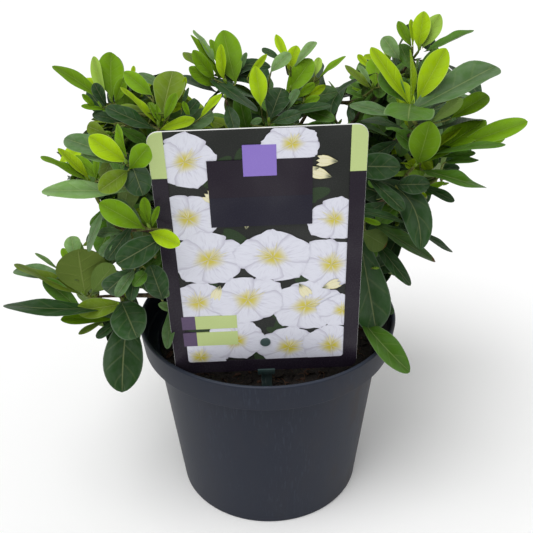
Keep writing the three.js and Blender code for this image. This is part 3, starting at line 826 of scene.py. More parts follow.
SHOOTS = (
    Shoot("left_high", (113, 103), -10, (-0.35, -0.15), {
        "new": [((111, 52), (112, 100), 27, -1)],
        "thin": [((93, 56), (103, 93), 10, -1)],
        "young": [((52, 66), (107, 104), 14, 1, False, 0.04), ((124, 78), (115, 103), 12),
            ((82, 94), (95, 107), 6), ((81, 106), (100, 109), 5)],
        "silvery": [((138, 73), (160, 86), 10, -1)],
        "shaded": [((94, 83), (107, 107), 12), ((92, 114), (117, 120), 10)],
    }),
    Shoot("left_high", (159, 127), -50, (-0.05, -0.35), {
        "new": [((121, 87), (158, 125), 8), ((123, 71), (153, 96), 17, -1), ((134, 65), (133, 76), 5, -1),
            ((149, 102), (159, 124), 5), ((156, 104), (160, 123), 5), ((176, 93), (164, 121), 10),
            ((186, 76), (183, 90), 5), ((183, 101), (188, 114), 6), ((195, 119), (159, 130), 11),
            ((222, 94), (200, 118), 7)],
        "young": [((173, 71), (160, 123), 32, -1)],
        "mature": [((213, 112), (182, 131), 19, -1), ((112, 107), (150, 112), 9, -1),
            ((147, 143), (125, 131), 12, -1)],
        "shaded": [((189, 87), (184, 102), 4), ((198, 100), (182, 118), 12, -1),
            ((106, 107), (157, 130), 15)],
    }),
    Shoot("left_mid", (127, 164), -90, (-0.15, -0.45), {
        "new": [((89, 136), (128, 163), 22), ((117, 124), (127, 158), 9, -1)],
        "young": [((149, 146), (129, 170), 22)],
        "mature": [((87, 126), (103, 133), 14, -1)],
        "olive": [((99, 191), (129, 170), 21)],
        "shaded": [((143, 196), (134, 171), 28)],
        "silvery": [((64, 138), (110, 155), 19, -1), ((82, 150), (110, 160), 14, -1)],
    }),
    Shoot("left_mid", (91, 184), -70, (-0.45, -0.2), {
        "new": [((41, 156), (92, 183), 8), ((58, 148), (91, 181), 11, -1)],
        "young": [((98, 151), (96, 181), 7, -1), ((74, 156), (93, 172), 14, -1)],
        "silvery": [((41, 191), (103, 191), 19)],
    }),
    Shoot("top_left", (226, 84), 10, (-0.1, -0.1), {
        "new": [((190, 34), (215, 72), 8)],
        "young": [((223, 30), (236, 85), 28, -1), ((221, 44), (224, 82), 10), ((211, 39), (223, 71), 12, -1),
            ((193, 50), (215, 80), 14), ((189, 67), (215, 87), 13)],
        "mature": [((186, 52), (213, 79), 9, -1)],
        "silvery": [((196, 32), (216, 65), 9, -1), ((247, 52), (241, 68), 6)],
        "shaded": [((177, 76), (219, 93), 10, -1), ((259, 112), (218, 83), 12),
            ((271, 67), (243, 88), 15, -1, False, -0.33)],
    }),
    Shoot("top_left", (269, 123), -40, (0.0, -0.3), {
        "new": [((255, 66), (261, 107), 18, -1)],
        "silvery": [((290, 53), (270, 73), 13, -1), ((269, 75), (271, 92), 6, -1),
            ((298, 88), (289, 106), 9, -1), ((262, 119), (250, 124), 7)],
        "shaded": [((282, 88), (269, 123), 26, -1), ((301, 113), (271, 123), 12),
            ((294, 121), (270, 126), 9)],
    }),
    Shoot("top_right", (290, 92), -10, (0.1, -0.1), {
        "new": [((276, 34), (286, 56), 9, -1), ((267, 54), (252, 72), 7), ((312, 59), (284, 97), 21, -1),
            ((315, 83), (301, 94), 9), ((326, 85), (304, 99), 9)],
        "thin": [((319, 57), (315, 76), 9, -1)],
        "young": [((297, 45), (288, 71), 15, -1), ((346, 56), (319, 78), 5), ((320, 97), (303, 103), 8),
            ((317, 77), (302, 101), 13, -1)],
        "silvery": [((315, 41), (300, 60), 10, -1)],
        "greyed": [((338, 92), (308, 98), 18, -1), ((335, 120), (305, 110), 14)],
        "shaded": [((262, 48), (278, 58), 6, -1), ((332, 105), (288, 113), 9)],
    }),
    Shoot("right_high", (418, 52), 0, (0.3, -0.1), {
        "new": [((424, 11), (418, 50), 18), ((411, 19), (413, 47), 5)],
        "thin": [((440, 14), (422, 49), 18, -1)],
        "young": [((398, 21), (412, 48), 11, -1)],
        "silvery": [((383, 37), (400, 60), 16, -1)],
        "mature": [((473, 30), (423, 52), 9, 1, False, 0.06), ((400, 44), (409, 63), 17, -1)],
    }),
    Shoot("right_high", (373, 89), 0, (-0.1, -0.25), {
        "new": [((357, 54), (368, 65), 7, -1), ((377, 57), (375, 87), 21, -1)],
        "young": [((345, 65), (372, 89), 10)],
        "silvery": [((359, 65), (368, 80), 6, -1)],
        "mature": [((349, 93), (364, 98), 5)],
        "shaded": [((331, 117), (362, 87), 9, 1, False, 0.38), ((351, 107), (363, 99), 8),
            ((352, 121), (349, 107), 8)],
    }),
    Shoot("right_front", (411, 107), -70, (0.1, -0.4), {
        "new": [((371, 47), (410, 106), 14), ((446, 48), (416, 103), 25, -1), ((410, 49), (411, 106), 6)],
        "greyed": [((496, 66), (424, 104), 30, -1), ((408, 121), (411, 105), 47),
            ((380, 72), (408, 104), 20, -1), ((350, 104), (387, 113), 13, -1)],
        "mature": [((463, 99), (440, 116), 13, 1, True)],
    }),
    Shoot("right_mid", (414, 167), -60, (0.4, -0.3), {
        "new": [((462, 127), (419, 164), 9)],
        "young": [((430, 121), (417, 165), 30), ((486, 120), (416, 166), 24, -1),
            ((488, 95), (450, 119), 19, -1), ((529, 121), (470, 142), 19)],
        "mature": [((506, 144), (450, 152), 6), ((479, 160), (445, 162), 8), ((476, 153), (450, 156), 7),
            ((487, 188), (422, 170), 15)],
        "shaded": [((480, 119), (438, 130), 6, -1), ((401, 167), (360, 167), 28)],
    }),
    Shoot("right_mid", (400, 190), -58, (0.3, -0.3), {
        "new": [((427, 196), (396, 192), 10), ((381, 224), (366, 219), 6)],
        "young": [((445, 182), (429, 187), 6)],
        "shaded": [((430, 184), (395, 185), 19), ((455, 201), (428, 188), 9), ((404, 211), (376, 185), 14),
            ((421, 250), (382, 202), 29, 1, False, -0.22), ((404, 222), (367, 213), 8),
            ((383, 193), (376, 199), 5)],
    }),
    Shoot("right_low", (365, 235), -36, (0.3, -0.4), {
        "weathered": [((386, 246), (360, 231), 24, 1, True), ((436, 262), (383, 230), 12)],
        "shaded": [((406, 230), (382, 225), 3), ((453, 252), (425, 234), 8), ((411, 286), (383, 251), 17),
            ((376, 331), (361, 249), 36, -1), ((393, 314), (385, 304), 8)],
    }),
    Shoot("right_low", (357, 313), -34, (0.3, -0.4), {
        "mature": [((410, 372), (357, 313), 23, 1, False, 0.05)],
    }),
    Shoot("left_mid", (150, 228), -85, (-0.2, -0.45), {
        "new": [((99, 203), (146, 230), 24), ((180, 245), (149, 232), 17), ((159, 206), (152, 227), 6)],
        "young": [((144, 197), (149, 227), 11, -1), ((139, 210), (149, 227), 4)],
        "mature": [((91, 227), (100, 213), 9, -1), ((116, 297), (135, 270), 11),
            ((133, 286), (147, 270), 13)],
        "greyed": [((97, 233), (123, 232), 10, -1)],
        "silvery": [((87, 250), (101, 216), 10, -1), ((101, 256), (112, 240), 10, -1)],
        "shaded": [((116, 264), (154, 242), 28), ((107, 260), (126, 234), 16, -1),
            ((130, 301), (135, 271), 13), ((150, 265), (163, 301), 29), ((106, 292), (130, 272), 22, -1)],
    }),
    Shoot("left_low", (87, 296), -50, (-0.5, -0.3), {
        "young": [((62, 248), (72, 266), 9, -1), ((14, 264), (84, 296), 15), ((60, 320), (112, 316), 16)],
        "olive": [((78, 249), (86, 297), 49, 1, True), ((114, 265), (91, 294), 25, 1, True),
            ((76, 310), (113, 305), 20)],
        "mature": [((43, 279), (71, 303), 16), ((78, 334), (104, 321), 4), ((167, 349), (170, 314), 12)],
        "silvery": [((71, 236), (73, 256), 17, -1), ((35, 253), (52, 265), 5), ((158, 304), (174, 309), 9)],
        "greyed": [((14, 270), (57, 277), 16, -1)],
        "shaded": [((3, 305), (82, 306), 17, 1, False, -0.04), ((96, 338), (116, 322), 9),
            ((95, 307), (112, 316), 9)],
    }),
    Shoot("left_low", (121, 306), -50, (-0.2, -0.5), {
        "shaded": [((137, 338), (121, 301), 35), ((122, 393), (128, 333), 39, 1, False, 0.03)],
    }),
)

# Outlines of the parts of the crown that have no gaps, where leaves further back show between the others
FILLS = (
    ((90, 92), (95, 83), (104, 84), (112, 92), (122, 84), (128, 66), (140, 70), (152, 74), (160, 82),
     (170, 76), (180, 84), (184, 100), (192, 102), (204, 112), (213, 113), (206, 127), (170, 131),
     (150, 136), (146, 144), (134, 146), (120, 136), (108, 124), (104, 118), (94, 115), (97, 108),
     (90, 101)),
    ((82, 150), (86, 130), (95, 122), (106, 126), (118, 134), (146, 140), (153, 165), (158, 190), (161, 215),
     (160, 236), (140, 238), (122, 230), (125, 212), (112, 200), (95, 193), (72, 190), (70, 180), (84, 172),
     (88, 160)),
    ((152, 262), (165, 255), (169, 290), (168, 304), (152, 298)),
    ((188, 58), (196, 44), (212, 40), (226, 44), (240, 56), (246, 84), (254, 74), (262, 68), (268, 72),
     (272, 92), (284, 88), (288, 70), (300, 60), (312, 60), (318, 76), (330, 80), (338, 88), (336, 97),
     (330, 104), (312, 108), (300, 112), (299, 121), (212, 131), (204, 130), (213, 113), (224, 110),
     (222, 100), (212, 90), (200, 82), (190, 72)),
    ((368, 66), (378, 60), (392, 58), (400, 48), (412, 54), (424, 58), (434, 70), (440, 84), (440, 98),
     (434, 106), (438, 116), (430, 128), (400, 124), (380, 110), (366, 98), (372, 84)),
    ((368, 120), (374, 113), (384, 112), (392, 119), (406, 122), (420, 118), (436, 104), (440, 112),
     (440, 126), (446, 132), (452, 126), (458, 136), (450, 148), (440, 156), (424, 162), (422, 170),
     (430, 176), (428, 190), (414, 196), (402, 206), (398, 216), (386, 222), (364, 226), (362, 200),
     (366, 180), (370, 150)),
    ((354, 228), (372, 226), (384, 232), (384, 246), (376, 254), (386, 264), (388, 285), (384, 300),
     (372, 318), (356, 312)),
)

# Where the sky shows through the crown, as boxes of pixels: left, top, right, bottom
SKY = (
    (182, 87, 212, 101),
    (213, 103, 223, 110),
    (272, 73, 279, 86),
    (301, 114, 316, 124),
    (332, 95, 350, 121),
)

# Pot and card, as the solids have them

POT = SimpleNamespace(height=131.0, rim=85.0, collar=83.0, collar_depth=18.5, wall_top=75.0, foot=62.5,
                      wall=1.6, foot_round=1.5, drain_holes=8, drain_hole=5.0, drain_ring=46.0)
COMPOST_LEVEL = 109.0
COMPOST_EDGE = 106.0
COMPOST_WAVE = 1.6
COMPOST_FLAT = 22.0
GAP = 0.3
CARD = SimpleNamespace(width=109.5, height=163.0, thickness=0.8, corner=6.0, hole=3.5, hole_height=23.0,
                       foot=np.array([-1.1, -57.5, 124.3]),
                       roll=math.radians(-1), lean=math.radians(8), turn=math.radians(1.4))
STAKE = SimpleNamespace(width=6.5, thickness=2.4, above=30.0, below=66.0, peg=3.1, peg_head=1.0)
HOOK = SimpleNamespace(width=10.6, height=1.6, thickness=1.2, shelf=2.6)


def card_axes():
    """The card's directions, as columns: across it, up it, and out of its printed face."""
    stand = Matrix.Rotation(math.radians(90), 3, "X")
    roll = Matrix.Rotation(CARD.roll, 3, "Y")
    lean = Matrix.Rotation(CARD.lean, 3, "X")
    turn = Matrix.Rotation(CARD.turn, 3, "Z")
    return np.array(turn @ lean @ roll @ stand)


def on_card(points):
    """Points given across the card, up it and out of its face, in the plant's frame."""
    return np.asarray(points, float) @ card_axes().T + CARD.foot


def clear_of_card(points):
    local = (points - CARD.foot) @ card_axes()
    beside = (np.abs(local[:, 0]) > CARD.width / 2 + 1) | (local[:, 1] > CARD.height + 1)
    beside |= local[:, 1] < -STAKE.below
    out = local[~beside, 2]
    return not len(out) or out.min() > 1 or out.max() < -3.5


def clear_of_pot(points):
    away = np.hypot(points[:, 0], points[:, 1])
    low = points[:, 2] < POT.height + 1.5
    free = np.where(points[:, 2] > POT.height - POT.collar_depth + 3, POT.collar - 3, BED_RADIUS - 2)
    inside = (away < free) & (points[:, 2] > COMPOST_LEVEL + 3)
    return not np.any(low & (away < POT.rim + 1.5) & ~inside)


# Foliage

# The breadth of leaves for their length: the usual one, and the least for each tone. Then their usual limit.
BROAD = 0.46
SLENDER = {"bright": 0.34, "fresh": 0.36, "pale": 0.34}
USUAL_SLENDER = 0.42
LONGEST = 44.0

# How old the leaves of each tone are, from 0 to 1
AGES = {"bright": 0.1, "pale": 0.15, "fresh": 0.3, "olive": 0.7, "mid": 0.6, "grey": 0.8, "silver": 0.8,
        "dark": 1.0, "worn": 1.0}

# A leaf needs a stem of its own when its foot lies further than this from the heart of its shoot, in
# millimetres, and other leaves hide its foot in the photograph when it lies further than this, in pixels
STEM_REACH = 3.0
LOOSE_FOOT = 8.0

# How far the oldest leaves lean out of the picture's plane, as a share of their length, and how far their
# feet lie in front of or behind the heart of their shoot
OLD_LEAN = 0.35
LAYERED = 2.5

# Tried in turn for a leaf with a hidden foot: how far back it goes, and how much longer it gets
BEHIND = (4, 8, 12, 18, 26, 34)
SPARES = (2.2, 1.6, 1.1, 0.75, 0.5, 0.35, 0.2)

# The blade of a leaf that can't be made longer: how full it is at its foot, and its greatest breadth
FULL_FOOT = 0.72
WIDEST = 0.62

# How many pixels a point covers on each side, and over how many pixels foliage closes from each side
BRUSH = 2
CLOSING = 3

# Twigs: how many roots are tried, how far apart, what a root costs that is too near, and how far back a path
# may bend. Then the green length at a twig's end, its radius there, and its mesh.
ROOT_CHOICES = 10
ROOTS_APART = 8.0
RULED_OUT = 400
PUSHES = (0, 6, 12, 20, 30, 42)
GREEN_LENGTH = 13.0
TWIG_TIP = 0.75
TWIG_SIDES = 8
TWIG_STEPS = 22

# Seeded shoots: the places tried on each mass, how deep in it their hearts lie, the share kept where two
# masses meet, how far each leaf is turned on from the one before, and the room for leaves past the solids
PLACES_TRIED = 420
DEPTH_IN = (13, 24)
INNER_SHARE = 0.6
GOLDEN = math.radians(137.5)
ROOM = 7.0

# A seeded shoot grows from 12 to 15 leaves, and is left out when fewer than this fit
LEAVES_GROWN = (12, 16)
FEWEST_LEAVES = 4

# Leaves that fill the crown: their kinds of spray, their least length for the way to go, how far forward
# they face and how much that wanders, their breadths for their length, and their age
Filler = namedtuple("Filler", "kinds reach forward wander broad age")
# Covering leaves further back are all of the shaded kind, dark as painted shade
COVER = Filler(("shaded",), 1.2, 0.5, 0.3, (0.4, 0.48), 0.9)
SHADE = Filler(("mature", "shaded"), 1.3, 0.6, 0.25, (0.42, 0.5), 0.8)
FILLER_LENGTHS = (20, 38)
COVER_TRIES = 2600
SHADE_TRIES = 14

# How near to a place in the picture the foot of such a leaf may lie, and how far from it, in pixels
COVER_LEAST = 6
COVER_REACH = 34.0


class Screen:
    """What the camera sees of the parts placed so far, as the nearest depth in each pixel."""

    def __init__(self, view):
        self.view = view
        self.near = np.full((PICTURE, PICTURE), np.inf)

    def spots(self, points):
        x, y, depth = self.view.pixel(points)
        return np.round(x).astype(int), np.round(y).astype(int), depth

    def depths(self, points):
        """The depth of each point, and that of what is drawn in its pixel."""
        x, y, depth = self.spots(points)
        return depth, self.near[np.clip(y, 0, PICTURE - 1), np.clip(x, 0, PICTURE - 1)]

    def draw(self, points):
        x, y, depth = self.spots(points)
        for dx in range(-BRUSH, BRUSH + 1):
            for dy in range(-BRUSH, BRUSH + 1):
                column = np.clip(x + dx, 0, PICTURE - 1)
                row = np.clip(y + dy, 0, PICTURE - 1)
                np.minimum.at(self.near, (row, column), depth)

    def settle(self):
        """Takes the crown's filled parts and the smallest breaks as foliage too, but never the sky."""
        drawn = np.isfinite(self.near)
        self.inside = shrunk(grown(drawn, CLOSING), CLOSING + BRUSH)
        self.filled = np.any([within(outline) for outline in FILLS], axis=0)
        self.inside |= self.filled
        self.front = np.where(drawn, self.near, 0)
        for left, top, right, bottom in SKY:
            for mask in (self.inside, self.filled):
                mask[top:bottom, left:right] &= drawn[top:bottom, left:right]

    def gaps(self):
        """The pixels of the crown's filled parts that nothing covers yet."""
        rows, columns = np.nonzero(self.filled & np.isinf(self.near))
        return np.stack([columns, rows], -1)

    def seen(self, points):
        """How many of the points nothing drawn so far hides."""
        depth, near = self.depths(points)
        return int(np.sum(depth < near + 1))

    def over(self, points):
        """How many of the points lie in front of something drawn so far."""
        depth, near = self.depths(points)
        return int(np.sum(np.isfinite(near) & (depth < near - 1)))

    def hides(self, points):
        """Whether all points lie within the outline and behind what has been drawn."""
        x, y, depth = self.spots(points)
        if min(x.min(), y.min()) < 0 or max(x.max(), y.max()) >= PICTURE:
            return False
        return bool(np.all(self.inside[y, x] & (depth > self.front[y, x] + 2)))


def within(outline):
    """The pixels inside an outline."""
    y, x = np.mgrid[0:PICTURE, 0:PICTURE]
    inside = np.zeros((PICTURE, PICTURE), bool)
    for (ax, ay), (bx, by) in zip(outline, outline[1:] + outline[:1]):
        if ay != by:
            inside ^= ((ay > y) != (by > y)) & (x < ax + (y - ay) * (bx - ax) / (by - ay))
    return inside


def disc(radius):
    return [(dx, dy) for dx in range(-radius, radius + 1) for dy in range(-radius, radius + 1)
            if dx * dx + dy * dy <= radius * radius]


def grown(mask, radius):
    wide = np.pad(mask, radius)
    out = np.zeros_like(wide)
    for dx, dy in disc(radius):
        out |= np.roll(wide, (dy, dx), (0, 1))
    return out[radius:-radius, radius:-radius]


def shrunk(mask, radius):
    return ~grown(~mask, radius)


def shoot_axis(lean):
    x, y = lean
    return unit([x, y, math.sqrt(max(0.05, 1 - x * x - y * y))])


def read_leaf(rng, view, shoot, tone, row, thickness):
    """Places a leaf that the photograph shows. An older leaf leans further out of the picture's plane. Where
    it looks too short for its width it points along the line of sight, and where it looks too narrow for
    its length it is turned about its midrib."""
    leaf = Leaf(*row)
    age = AGES[tone]
    loose = math.dist(leaf.base, shoot.heart) > LOOSE_FOOT
    base = view.at_y(leaf.base, shoot.y)
    base = base + unit(view.eye - base) * leaf.toward * LAYERED * age
    depth = view.depth(base)
    seen = view.at_depth(leaf.tip, depth)
    seen_length = np.linalg.norm(seen - base)
    seen_width = leaf.width * depth / view.focal
    usual = min(seen_width / BROAD, LONGEST)
    length = 1.08 * seen_length if leaf.under or loose else max(seen_length, usual)
    nearer = leaf.toward * max(math.sqrt(max(length**2 - seen_length**2, 0)), OLD_LEAN * age * seen_length)
    tip = seen + unit(view.eye - seen) * nearer
    along = unit(tip - base)
    length = np.linalg.norm(tip - base)
    width = max(seen_width, SLENDER.get(tone, USUAL_SLENDER) * length)
    facing = square_to(unit(view.eye - base), along)
    sideways = np.cross(along, facing)
    turn = math.acos(min(1, seen_width / width))
    side = -1 if leaf.under else 1
    options = [side * math.cos(turn) * facing + s * math.sin(turn) * sideways for s in (-1, 1)]
    wanted = square_to(shoot_axis(shoot.lean), along)
    face = max(options, key=lambda option: option @ wanted)
    made = shaped_leaf(rng, tone, base, along, face, length, width, age, shoot.mass, thickness)
    made["fold"] *= min(1, 0.5 * seen_length / seen_width) * (0.35 if leaf.under else 1)
    level = np.cross(along, face) @ sideways
    made["sway"] = 0.4 * made["sway"] + leaf.sway
    made["sway"] -= made["bow"] * (face @ sideways) / math.copysign(max(abs(level), 0.35), level)
    made["width"] /= math.cos(made["fold"] * 0.8)
    made["loose"] = loose
    made["footless"] = np.linalg.norm(base - view.at_y(shoot.heart, shoot.y)) > STEM_REACH
    made["spare"] = max(0.5, usual / length - 1)
    return made


def tuck(screen, leaf):
    """Puts a leaf's foot behind the leaves that hide it, while it looks the same from the camera."""
    eye, away = screen.view.eye, leaf["base"]
    reach = leaf["along"] * leaf["length"] * np.linspace(0.1, 0.7, 7)[:, None]
    for back in BEHIND:
        leaf["base"] = eye + (away - eye) * (1 + back / screen.view.depth(away))
        if not screen.seen(leaf["base"][None]) and screen.over(leaf["base"] + reach) < 2:
            break
    else:
        leaf["base"] = away
    for share in SPARES:
        foot = leaf["base"] - leaf["along"] * leaf["length"] * share
        unseen = screen.seen(mix(leaf["base"], foot, np.linspace(0.2, 1, 6)[:, None])) < 2
        if share <= leaf["spare"] and unseen:
            leaf["base"] = foot
            leaf["length"] *= 1 + share
            leaf["fullness"] *= 1 + 0.4 * share
            return
    leaf["fullness"] = FULL_FOOT
    leaf["width"] = min(leaf["width"], WIDEST * leaf["length"])


class Wood:
    """Every point along the limbs and twigs so far, for the next twig to grow from."""

    def __init__(self):
        self.points = np.zeros((0, 3))
        self.ways = np.zeros((0, 3))
        self.radii = np.zeros(0)

    def add(self, path, radii):
        self.points = np.vstack([self.points, path])
        self.ways = np.vstack([self.ways, frames_along(path)[0]])
        self.radii = np.concatenate([self.radii, radii])

    def roots_for(self, target, axis):
        """The best points to grow from towards a target, near it and behind it along its axis."""
        gap = target - self.points
        distance = np.linalg.norm(gap, axis=1)
        behind = (gap @ axis) / np.maximum(distance, 0.1)
        onward = np.sum(gap * self.ways, 1) / np.maximum(distance, 0.1)
        cost = distance * (2.0 - 0.6 * behind - 0.3 * onward) + RULED_OUT * (distance < 3)
        roots = []
        for _ in range(ROOT_CHOICES):
            best = int(np.argmin(cost))
            roots.append((self.points[best], self.ways[best], self.radii[best]))
            cost += RULED_OUT * (np.linalg.norm(self.points - self.points[best], axis=1) < ROOTS_APART)
        return roots


def hidden_path(screen, wood, target, axis, steps):
    """The path from the wood to a target of which the camera sees least, and its first radius."""
    found = []
    bend = np.sin(np.pi * np.linspace(0, 1, steps))[:, None]
    for start, way, radius in wood.roots_for(target, axis):
        gap = unit(target - start)
        plain = hermite(start, unit(0.4 * way + gap) * 0.8, target, unit(axis + 0.3 * gap) * 0.8, steps)
        for push in PUSHES:
            path = plain - screen.view.back * push * bend
            blocked = not (clear_of_card(path) and clear_of_pot(path))

            # points that show cost most, and a path through the pot or the card is all but ruled out
            cost = 2.5 * screen.seen(path) + 0.15 * np.linalg.norm(target - start) + 0.1 * push + 90 * blocked
            found.append((cost, len(found), path, radius))
    return min(found)[2:]


def grow_twig(rng, screen, wood, skins, heart, axis):
    """A twig from the wood to the heart of a shoot, brown at first and green near its tip, with a bud."""
    path, radius = hidden_path(screen, wood, heart, axis, TWIG_STEPS)
    share = np.linspace(0, 1, TWIG_STEPS)
    for waves, reach in ((1, 0.8), (2, 0.5), (3, 0.3)):
        path = path + rng.normal(0, reach, 3) * np.sin(waves * np.pi * share)[:, None]
    radii = mix(min(1.5, 0.85 * radius), TWIG_TIP, share)
    lengths = lengths_along(path)
    split = int(np.clip(np.sum(lengths[-1] - lengths > GREEN_LENGTH), 2, TWIG_STEPS - 3))
    for name, part in (("twigs_brown", slice(0, split + 1)), ("twigs_green", slice(split, TWIG_STEPS))):
        knots = bark_relief(rng, lengths[part] - lengths[part.start] + 0.1, TWIG_SIDES, 2, 0.05)
        skins[name].add(*tube(path[part], radii[part], TWIG_SIDES, knots))
    wood.add(path[3:20], radii[3:20])
    add_bud(rng, skins["buds"], heart, axis)


def grow_spur(screen, wood, skin, leaf, radius=0.4):
    """A short thin stem for a leaf whose foot is away from the heart of its shoot."""
    path, _ = hidden_path(screen, wood, leaf["base"] + leaf["along"] * 0.8, leaf["along"], 12)
    skin.add(*tube(path, np.linspace(radius * 1.3, radius, 12), 6))
    wood.add(path[2:9], np.full(7, radius))


def add_bud(rng, skin, heart, axis):
    """A pointed bud of overlapping scales in the heart of a shoot."""
    length = rng.uniform(3.5, 5.5)
    share = np.linspace(0, 1, 12)
    path = heart + axis * (length * share)[:, None]
    outline = 0.85 * np.sin(np.pi * np.clip(share * 0.86 + 0.1, 0, 1)) ** 0.8
    steps = 1 + 0.10 * np.sin(share * 22)
    angle = np.linspace(0, 2 * np.pi, 12, endpoint=False)
    scales = 0.09 * np.sin(3 * angle[None] + 9 * share[:, None])
    skin.add(*tube(path, outline * steps, 12, scales))


def surface_points(node, count, rng):
    """Points spread evenly over a node of the frame, with the normals there."""
    mesh = node.data
    mesh.calc_loop_triangles()
    corners = np.zeros(len(mesh.loop_triangles) * 3, np.int32)
    mesh.loop_triangles.foreach_get("vertices", corners)
    places = np.zeros(len(mesh.vertices) * 3)
    mesh.vertices.foreach_get("co", places)
    a, b, c = (places.reshape(-1, 3) / MM)[corners.reshape(-1, 3)].transpose(1, 0, 2)
    normals = np.cross(b - a, c - a)
    areas = np.linalg.norm(normals, axis=1)
    chosen = rng.choice(len(areas), count, p=areas / areas.sum())
    s, t = rng.random((2, count))
    over = s + t > 1
    s, t = np.where(over, 1 - s, s), np.where(over, 1 - t, t)
    points = a[chosen] + (b - a)[chosen] * s[:, None] + (c - a)[chosen] * t[:, None]
    return points, unit(normals[chosen])


def mass_spans():
    """The middle and the half spans of each mass of foliage."""
    spans = {}
    for name in LIMBS:
        low, high = (np.array(corner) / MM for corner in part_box("foliage_" + name))
        spans[name] = ((low + high) / 2, (high - low) / 2)
    return spans


SPANS = mass_spans()


def nearest_mass(point):
    return min(SPANS, key=lambda name: np.sum(((point - SPANS[name][0]) / SPANS[name][1]) ** 2))


def in_other_mass(point, name):
    return any(np.sum(((point - middle) / (0.85 * half)) ** 2) < 1
               for other, (middle, half) in SPANS.items() if other != name)


def seeded_hearts(rng, spacing, taken):
    """Places for the shoots that the photograph doesn't show, spread over every mass of foliage."""
    hearts = []
    for name in LIMBS:
        points, normals = surface_points(frame["nodes"]["foliage_" + name], PLACES_TRIED, rng)
        for point, normal in zip(points, normals):
            if normal[2] < -0.85:
                continue
            inner = in_other_mass(point + normal * 10, name)
            if inner and rng.random() > INNER_SHARE:
                continue
            heart = point - normal * rng.uniform(*DEPTH_IN)
            heart = mix(heart, np.array(LIMBS[name].end, float), 0.45 if inner else 0.0)
            if all(np.linalg.norm(heart - other) > spacing for other in taken):
                taken.append(heart)
                axis = unit(0.8 * normal + np.array([0, 0, 0.65]) + rng.normal(0, 0.15, 3))
                axis[2] = max(axis[2], 0.1)
                hearts.append((name, heart, unit(axis)))
    return hearts


# The tones that a spray of each kind is dealt, with their shares, and the kinds of a shoot's outer spray. The
# shaded kind deals the dark tone as painted shade, and shoots on masses out of full light are dealt it more
# often.
SPRAYS = {
    "new": (("bright", 0.65), ("fresh", 0.35)),
    "thin": (("pale", 0.8), ("bright", 0.2)),
    "young": (("fresh", 0.8), ("bright", 0.12), ("olive", 0.08)),
    "mature": (("mid", 0.7), ("olive", 0.15), ("grey", 0.15)),
    "olive": (("olive", 0.92), ("mid", 0.08)),
    "greyed": (("grey", 0.85), ("mid", 0.15)),
    "silvery": (("silver", 0.6), ("grey", 0.4)),
    "shaded": (("dark", 0.88), ("mid", 0.12)),
    "weathered": (("worn", 0.65), ("olive", 0.35)),
}
SUNNY_OUTER = (("mature", 0.4), ("greyed", 0.25), ("shaded", 0.3), ("weathered", 0.05))
SHADY_OUTER = (("mature", 0.28), ("greyed", 0.14), ("shaded", 0.5), ("weathered", 0.08))


def dealt(rng, shares):
    """One name from pairs of a name and its share."""
    return str(rng.choice([name for name, _ in shares], p=[share for _, share in shares]))


def whorl(rng, settings, mass, heart, axis):
    """The leaves of one seeded shoot: short and upright in its heart, long and spreading round it."""
    side = square_to(np.array([1.0, 0.2, 0.0]) if abs(axis[0]) < 0.9 else np.array([0.0, 1.0, 0.0]), axis)
    over = np.cross(axis, side)
    start = rng.uniform(0, 6.28)
    sunny = mass in SUNNY_MASSES
    count = int(rng.integers(*LEAVES_GROWN))
    thickness = settings.thickness / MM
    # Painted light and shade: shoots on masses in full light get bright new leaves in their hearts, and dark
    # shaded ones less often outside
    inner, outer = "new" if sunny else "young", dealt(rng, SUNNY_OUTER if sunny else SHADY_OUTER)
    leaves = []
    for k in range(count):
        age = (k + 1) / count
        turn = start + k * GOLDEN + rng.normal(0, 0.12)
        radial = math.cos(turn) * side + math.sin(turn) * over
        spread = math.radians(mix(14, 88, age**0.8) + rng.normal(0, 7))
        down = 0.5 + 9 * max(age - 0.35, 0) ** 1.2 + (10 if k > count - 4 else 0) * rng.random()
        along = axis * math.cos(spread) + radial * math.sin(spread)
        along = unit(along - np.array([0, 0, 0.22 * age]))
        length = mix(settings.young, settings.mature, smooth(age, 0.1, 0.6)) / MM * rng.uniform(0.82, 1.14)
        if age < 0.25:
            length *= 0.72
        young = age < (0.42 if sunny else 0.25)
        tone = dealt(rng, SPRAYS[inner if young else outer])
        face = square_to(axis + np.array([0, 0, 0.35]) + rng.normal(0, 0.12, 3), along)
        broad = mix(0.33, 0.47, age) * rng.uniform(0.9, 1.1)
        base = heart - axis * down + radial * TWIG_TIP * 0.7
        leaves.append(shaped_leaf(rng, tone, base, along, face, length, broad * length, age, mass, thickness))
    return leaves


def leaf_fits(leaf, screen):
    """Whether a seeded leaf keeps clear of pot and card, and out of the photograph's view of the sky."""
    points = leaf_points([leaf])[0]
    if np.any(points < LOWEST - ROOM) or np.any(points > HIGHEST + ROOM):
        return False
    return clear_of_pot(points) and clear_of_card(points) and screen.hides(points)


def seeded_leaves(rng, settings, mass, heart, axis, screen):
    """The leaves of a seeded shoot that fit, some of them only when they are made shorter."""
    kept = []
    for leaf in whorl(rng, settings, mass, heart, axis):
        for shorter in (1.0, 0.86, 0.74):
            trial = {**leaf, "length": leaf["length"] * shorter, "width": leaf["width"] * shorter}
            if leaf_fits(trial, screen):
                kept.append(trial)
                break
    return kept


def within_reach(places, spot):
    """Which of the wood's pixels lie near a pixel, though not right beside it."""
    apart = np.linalg.norm(places - spot, axis=1)
    return (apart > COVER_LEAST) & (apart < COVER_REACH)


